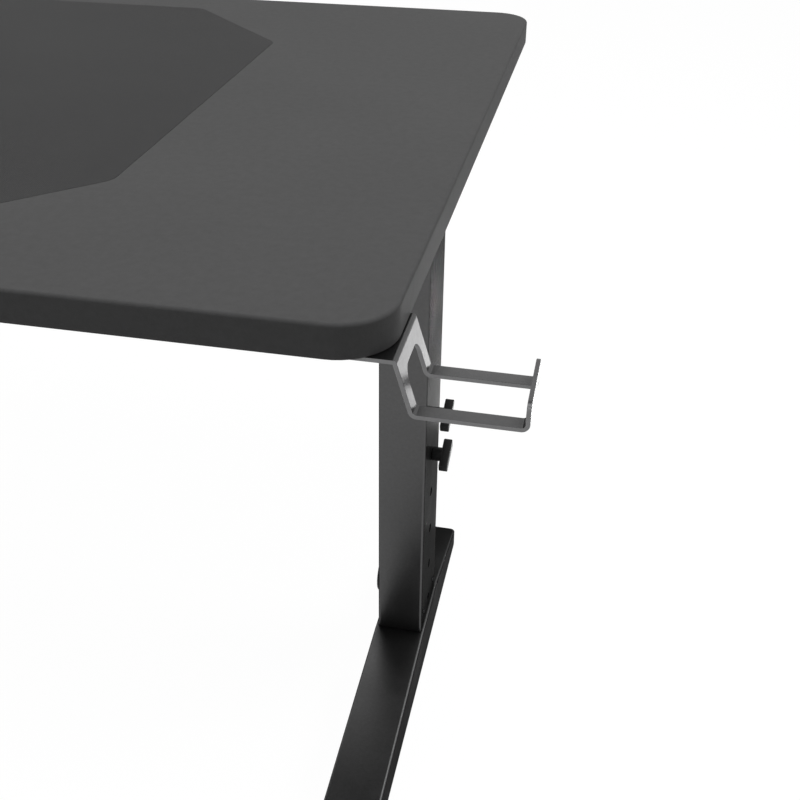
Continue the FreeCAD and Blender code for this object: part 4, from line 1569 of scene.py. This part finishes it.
@dataclass
class Glide:
    """One levelling glide: a stepped pad on a threaded stud."""

    shop: Workshop
    side: Side
    end: str
    tread_round: float = 0.0015
    shoulder: float = 0.006
    shoulder_drop: float = 0.0016
    sides: int = 44
    rod: ThreadedRod = field(default_factory=ThreadedRod)

    def build(self) -> None:
        """Mould the pad and cut its stud, both on the pad's axis."""
        pad = self.end + "_glide" + self.side.suffix
        stud = self.end + "_glide_stud" + self.side.suffix
        low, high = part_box(pad)
        axis = (low + high) / 2
        self.stand(self.mould_pad(pad), pad, axis, BLACK_PLASTIC)
        self.stand(self.cut_stud(stud), stud, axis, ZINC)

    def mould_pad(self, node: str) -> Piece:
        """Model a round pad with a raised shoulder.

        Args:
            node: CAD node of the pad.

        Returns:
            The pad, standing at the origin.
        """
        low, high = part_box(node)
        blank_height = high.z - low.z - self.shoulder_drop
        pad = Bench.drum(node + "_moulded", self.sides, (high.x - low.x) / 2, 0.0, blank_height)
        with Bench.editing(pad):
            Bench.round_edges(level, self.tread_round, segments=3)
            Bench.pick_faces(flat_top(blank_height))
            bpy.ops.mesh.inset(thickness=self.shoulder)
            Bench.push((0.0, 0.0, self.shoulder_drop))
        Bench.soften(pad)
        return pad

    def cut_stud(self, node: str) -> Piece:
        """Threaded stud as high as a CAD node, standing at the origin."""
        low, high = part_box(node)
        return self.rod.build(node + "_threaded", high.z - low.z)

    def stand(self, piece: Piece, node: str, axis: Vector, finish: Finish) -> None:
        """Stand a piece on an upright axis at its node's height and hand it over."""
        Bench.put(piece, Matrix.Translation((axis.x, axis.y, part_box(node)[0].z)))
        self.shop.hand_over(piece, finish, node)


# Studio


@dataclass(frozen=True)
class Lamp:
    """Rectangular softbox."""

    name: str
    place: Triple
    target: Triple
    size: Span
    power: float

    def build(self) -> None:
        """Hang the softbox and turn it to its target."""
        Bench.clear()
        bpy.ops.object.light_add(type="AREA", location=self.place)
        lamp = bpy.context.active_object
        lamp.name = lamp.data.name = self.name
        lamp.rotation_mode = "QUATERNION"
        lamp.rotation_quaternion = (Vector(self.target) - Vector(self.place)).to_track_quat("-Z", "Y")
        lamp.data.shape = "RECTANGLE"
        lamp.data.size, lamp.data.size_y = self.size
        lamp.data.energy = self.power
        lamp.visible_camera = False


LAMPS = (
    Lamp("overhead_softbox", place=(0.3, -0.76, 3.1), target=(0.3, -0.1, 0.7), size=(2.4, 1.6), power=44.5),
    Lamp("right_softbox", place=(2.6, 0.8, 2.2), target=(0.7, 0.0, 0.6), size=(1.6, 1.2), power=25.0),
    Lamp("right_strip", place=(1.17, 0.5, 0.36), target=(0.74, 0.0, 0.62), size=(0.3, 0.2), power=0.46),
    Lamp("floor_strip", place=(0.87, 1.0, 0.02), target=(0.86, 0.95, 1.0), size=(0.3, 0.9), power=5.2),
    Lamp("near_strip", place=(0.85, 0.53, 0.015), target=(0.84, 0.48, 1.0), size=(0.3, 0.4), power=0.58),
    Lamp("left_fill", place=(-3.2, -0.4, 1.4), target=(-0.4, 0.0, 0.5), size=(2.0, 1.8), power=9.0),
    Lamp("back_fill", place=(0.0, 3.0, 2.6), target=(0.0, 0.2, 0.5), size=(3.0, 1.8), power=9.0),
)


@dataclass
class Studio:
    """Pale floor, white surround, a black flag, lamps and the camera."""

    floor_reach: float = 40.0
    floor_glow_share: float = 0.93
    floor_glow: float = 1.05
    paper_tones: tuple[Triple, Triple] = ((0.78, 0.78, 0.78), (0.82, 0.82, 0.82))
    paper_cells: float = 90.0
    ambient: float = 0.12
    flag_corners: tuple[Triple, Triple] = ((0.44, 0.75, 0.05), (0.72, 0.76, 0.51))
    flag_colour: Triple = (0.004, 0.004, 0.004)
    camera_place: Triple = (0.87716, -0.96505, 1.07252)
    camera_pitch: float = 30.503
    camera_azimuth: float = 12.634
    camera_lens: float = 50.531
    camera_sensor: float = 36.0
    camera_shift: Span = (0.02774, -0.04454)

    def build(self) -> None:
        """Set up the floor, the surround, the flag, the lamps and the camera."""
        bpy.context.scene.view_settings.view_transform = "Standard"
        self.lay_floor()
        self.hang_surround()
        self.hang_flag()
        for lamp in LAMPS:
            lamp.build()
        self.place_camera()

    @staticmethod
    def background_rays(graph: Graph) -> Socket:
        """Mask of the rays that show the background: seen, mirrored or through glass.

        Args:
            graph: Graph of the background.

        Returns:
            The mask.
        """
        path = graph.add("LightPath").outputs
        seen = graph.math("MAXIMUM", path["Is Camera Ray"], path["Is Glossy Ray"])
        return graph.math("MAXIMUM", seen, path["Is Transmission Ray"])

    @staticmethod
    def bare_material(piece: Piece, title: str) -> Graph:
        """Give a stage piece a new material with no nodes.

        Args:
            piece: Floor or flag.
            title: Name of the material.

        Returns:
            The graph of the material.
        """
        material = bpy.data.materials.new(title)
        material.use_nodes = True
        piece.data.materials.append(material)
        graph = Graph(material.node_tree)
        graph.tree.nodes.clear()
        return graph

    def lay_floor(self) -> None:
        """Lay a pale floor that shows white but keeps the desk's shadow."""
        Bench.clear()
        bpy.ops.mesh.primitive_grid_add(x_subdivisions=8, y_subdivisions=8, size=self.floor_reach)
        floor = Bench.settle("studio_floor")
        graph = self.bare_material(floor, "floor_paper")
        noise = graph.noise(graph.place(), self.paper_cells, detail=2.0)
        paper = graph.add("BsdfDiffuse", {"Color": graph.blend(noise, *self.paper_tones)})
        glow = graph.add("Emission", {"Color": WHITE, "Strength": self.floor_glow})
        share = graph.math("MULTIPLY", self.background_rays(graph), self.floor_glow_share)
        mix = graph.add("MixShader", {0: share, 1: paper.outputs[0], 2: glow.outputs[0]})
        graph.add("OutputMaterial", {"Surface": mix.outputs[0]})
        floor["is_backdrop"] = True

    def hang_flag(self) -> None:
        """Hang a black flag behind the right foot, which only mirrored rays meet."""
        flag = Bench.slab("black_flag", *self.flag_corners)
        graph = self.bare_material(flag, "flag_felt")
        felt = graph.add("BsdfDiffuse", {"Color": self.flag_colour})
        graph.add("OutputMaterial", {"Surface": felt.outputs[0]})
        flag.visible_camera = flag.visible_shadow = flag.visible_diffuse = False
        flag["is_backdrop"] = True

    def hang_surround(self) -> None:
        """Hang a white surround for seen and mirrored rays, and a dim even light for the rest."""
        world = bpy.data.worlds.new("studio_surround")
        world.use_nodes = True
        bpy.context.scene.world = world
        graph = Graph(world.node_tree)
        graph.tree.nodes.clear()
        dim = graph.add("Background", {"Color": WHITE, "Strength": self.ambient})
        white = graph.add("Background", {"Color": WHITE, "Strength": 1.0})
        mix = graph.add("MixShader", {0: self.background_rays(graph), 1: dim.outputs[0], 2: white.outputs[0]})
        graph.add("OutputWorld", {"Surface": mix.outputs[0]})

    def place_camera(self) -> None:
        """Put the camera at the photograph's place, found from the board's and the leg's straight edges."""
        Bench.clear()
        turn = (math.radians(90.0 - self.camera_pitch), 0.0, math.radians(self.camera_azimuth))
        bpy.ops.object.camera_add(location=self.camera_place, rotation=turn)
        camera = bpy.context.active_object
        camera.data.sensor_width = self.camera_sensor
        camera.data.lens = self.camera_lens
        camera.data.shift_x, camera.data.shift_y = self.camera_shift
        bpy.context.scene.camera = camera


def main() -> None:
    """Build the desk's sub-assemblies in order, then the studio round them."""
    logging.basicConfig(level=logging.INFO, format="%(name)s: %(message)s")
    shop = Workshop()
    top = Top(shop)
    top.build()
    top.dress()
    Underframe(shop).build()
    for side in Side:
        leg = Leg(shop, side)
        leg.build()
        leg.dress()
        ClampKnobs(shop, side).build()
        for end in ("front", "back"):
            Glide(shop, side, end).build()
    LegFixings(shop).build()
    Studio().build()


if __name__ == "__main__":
    main()
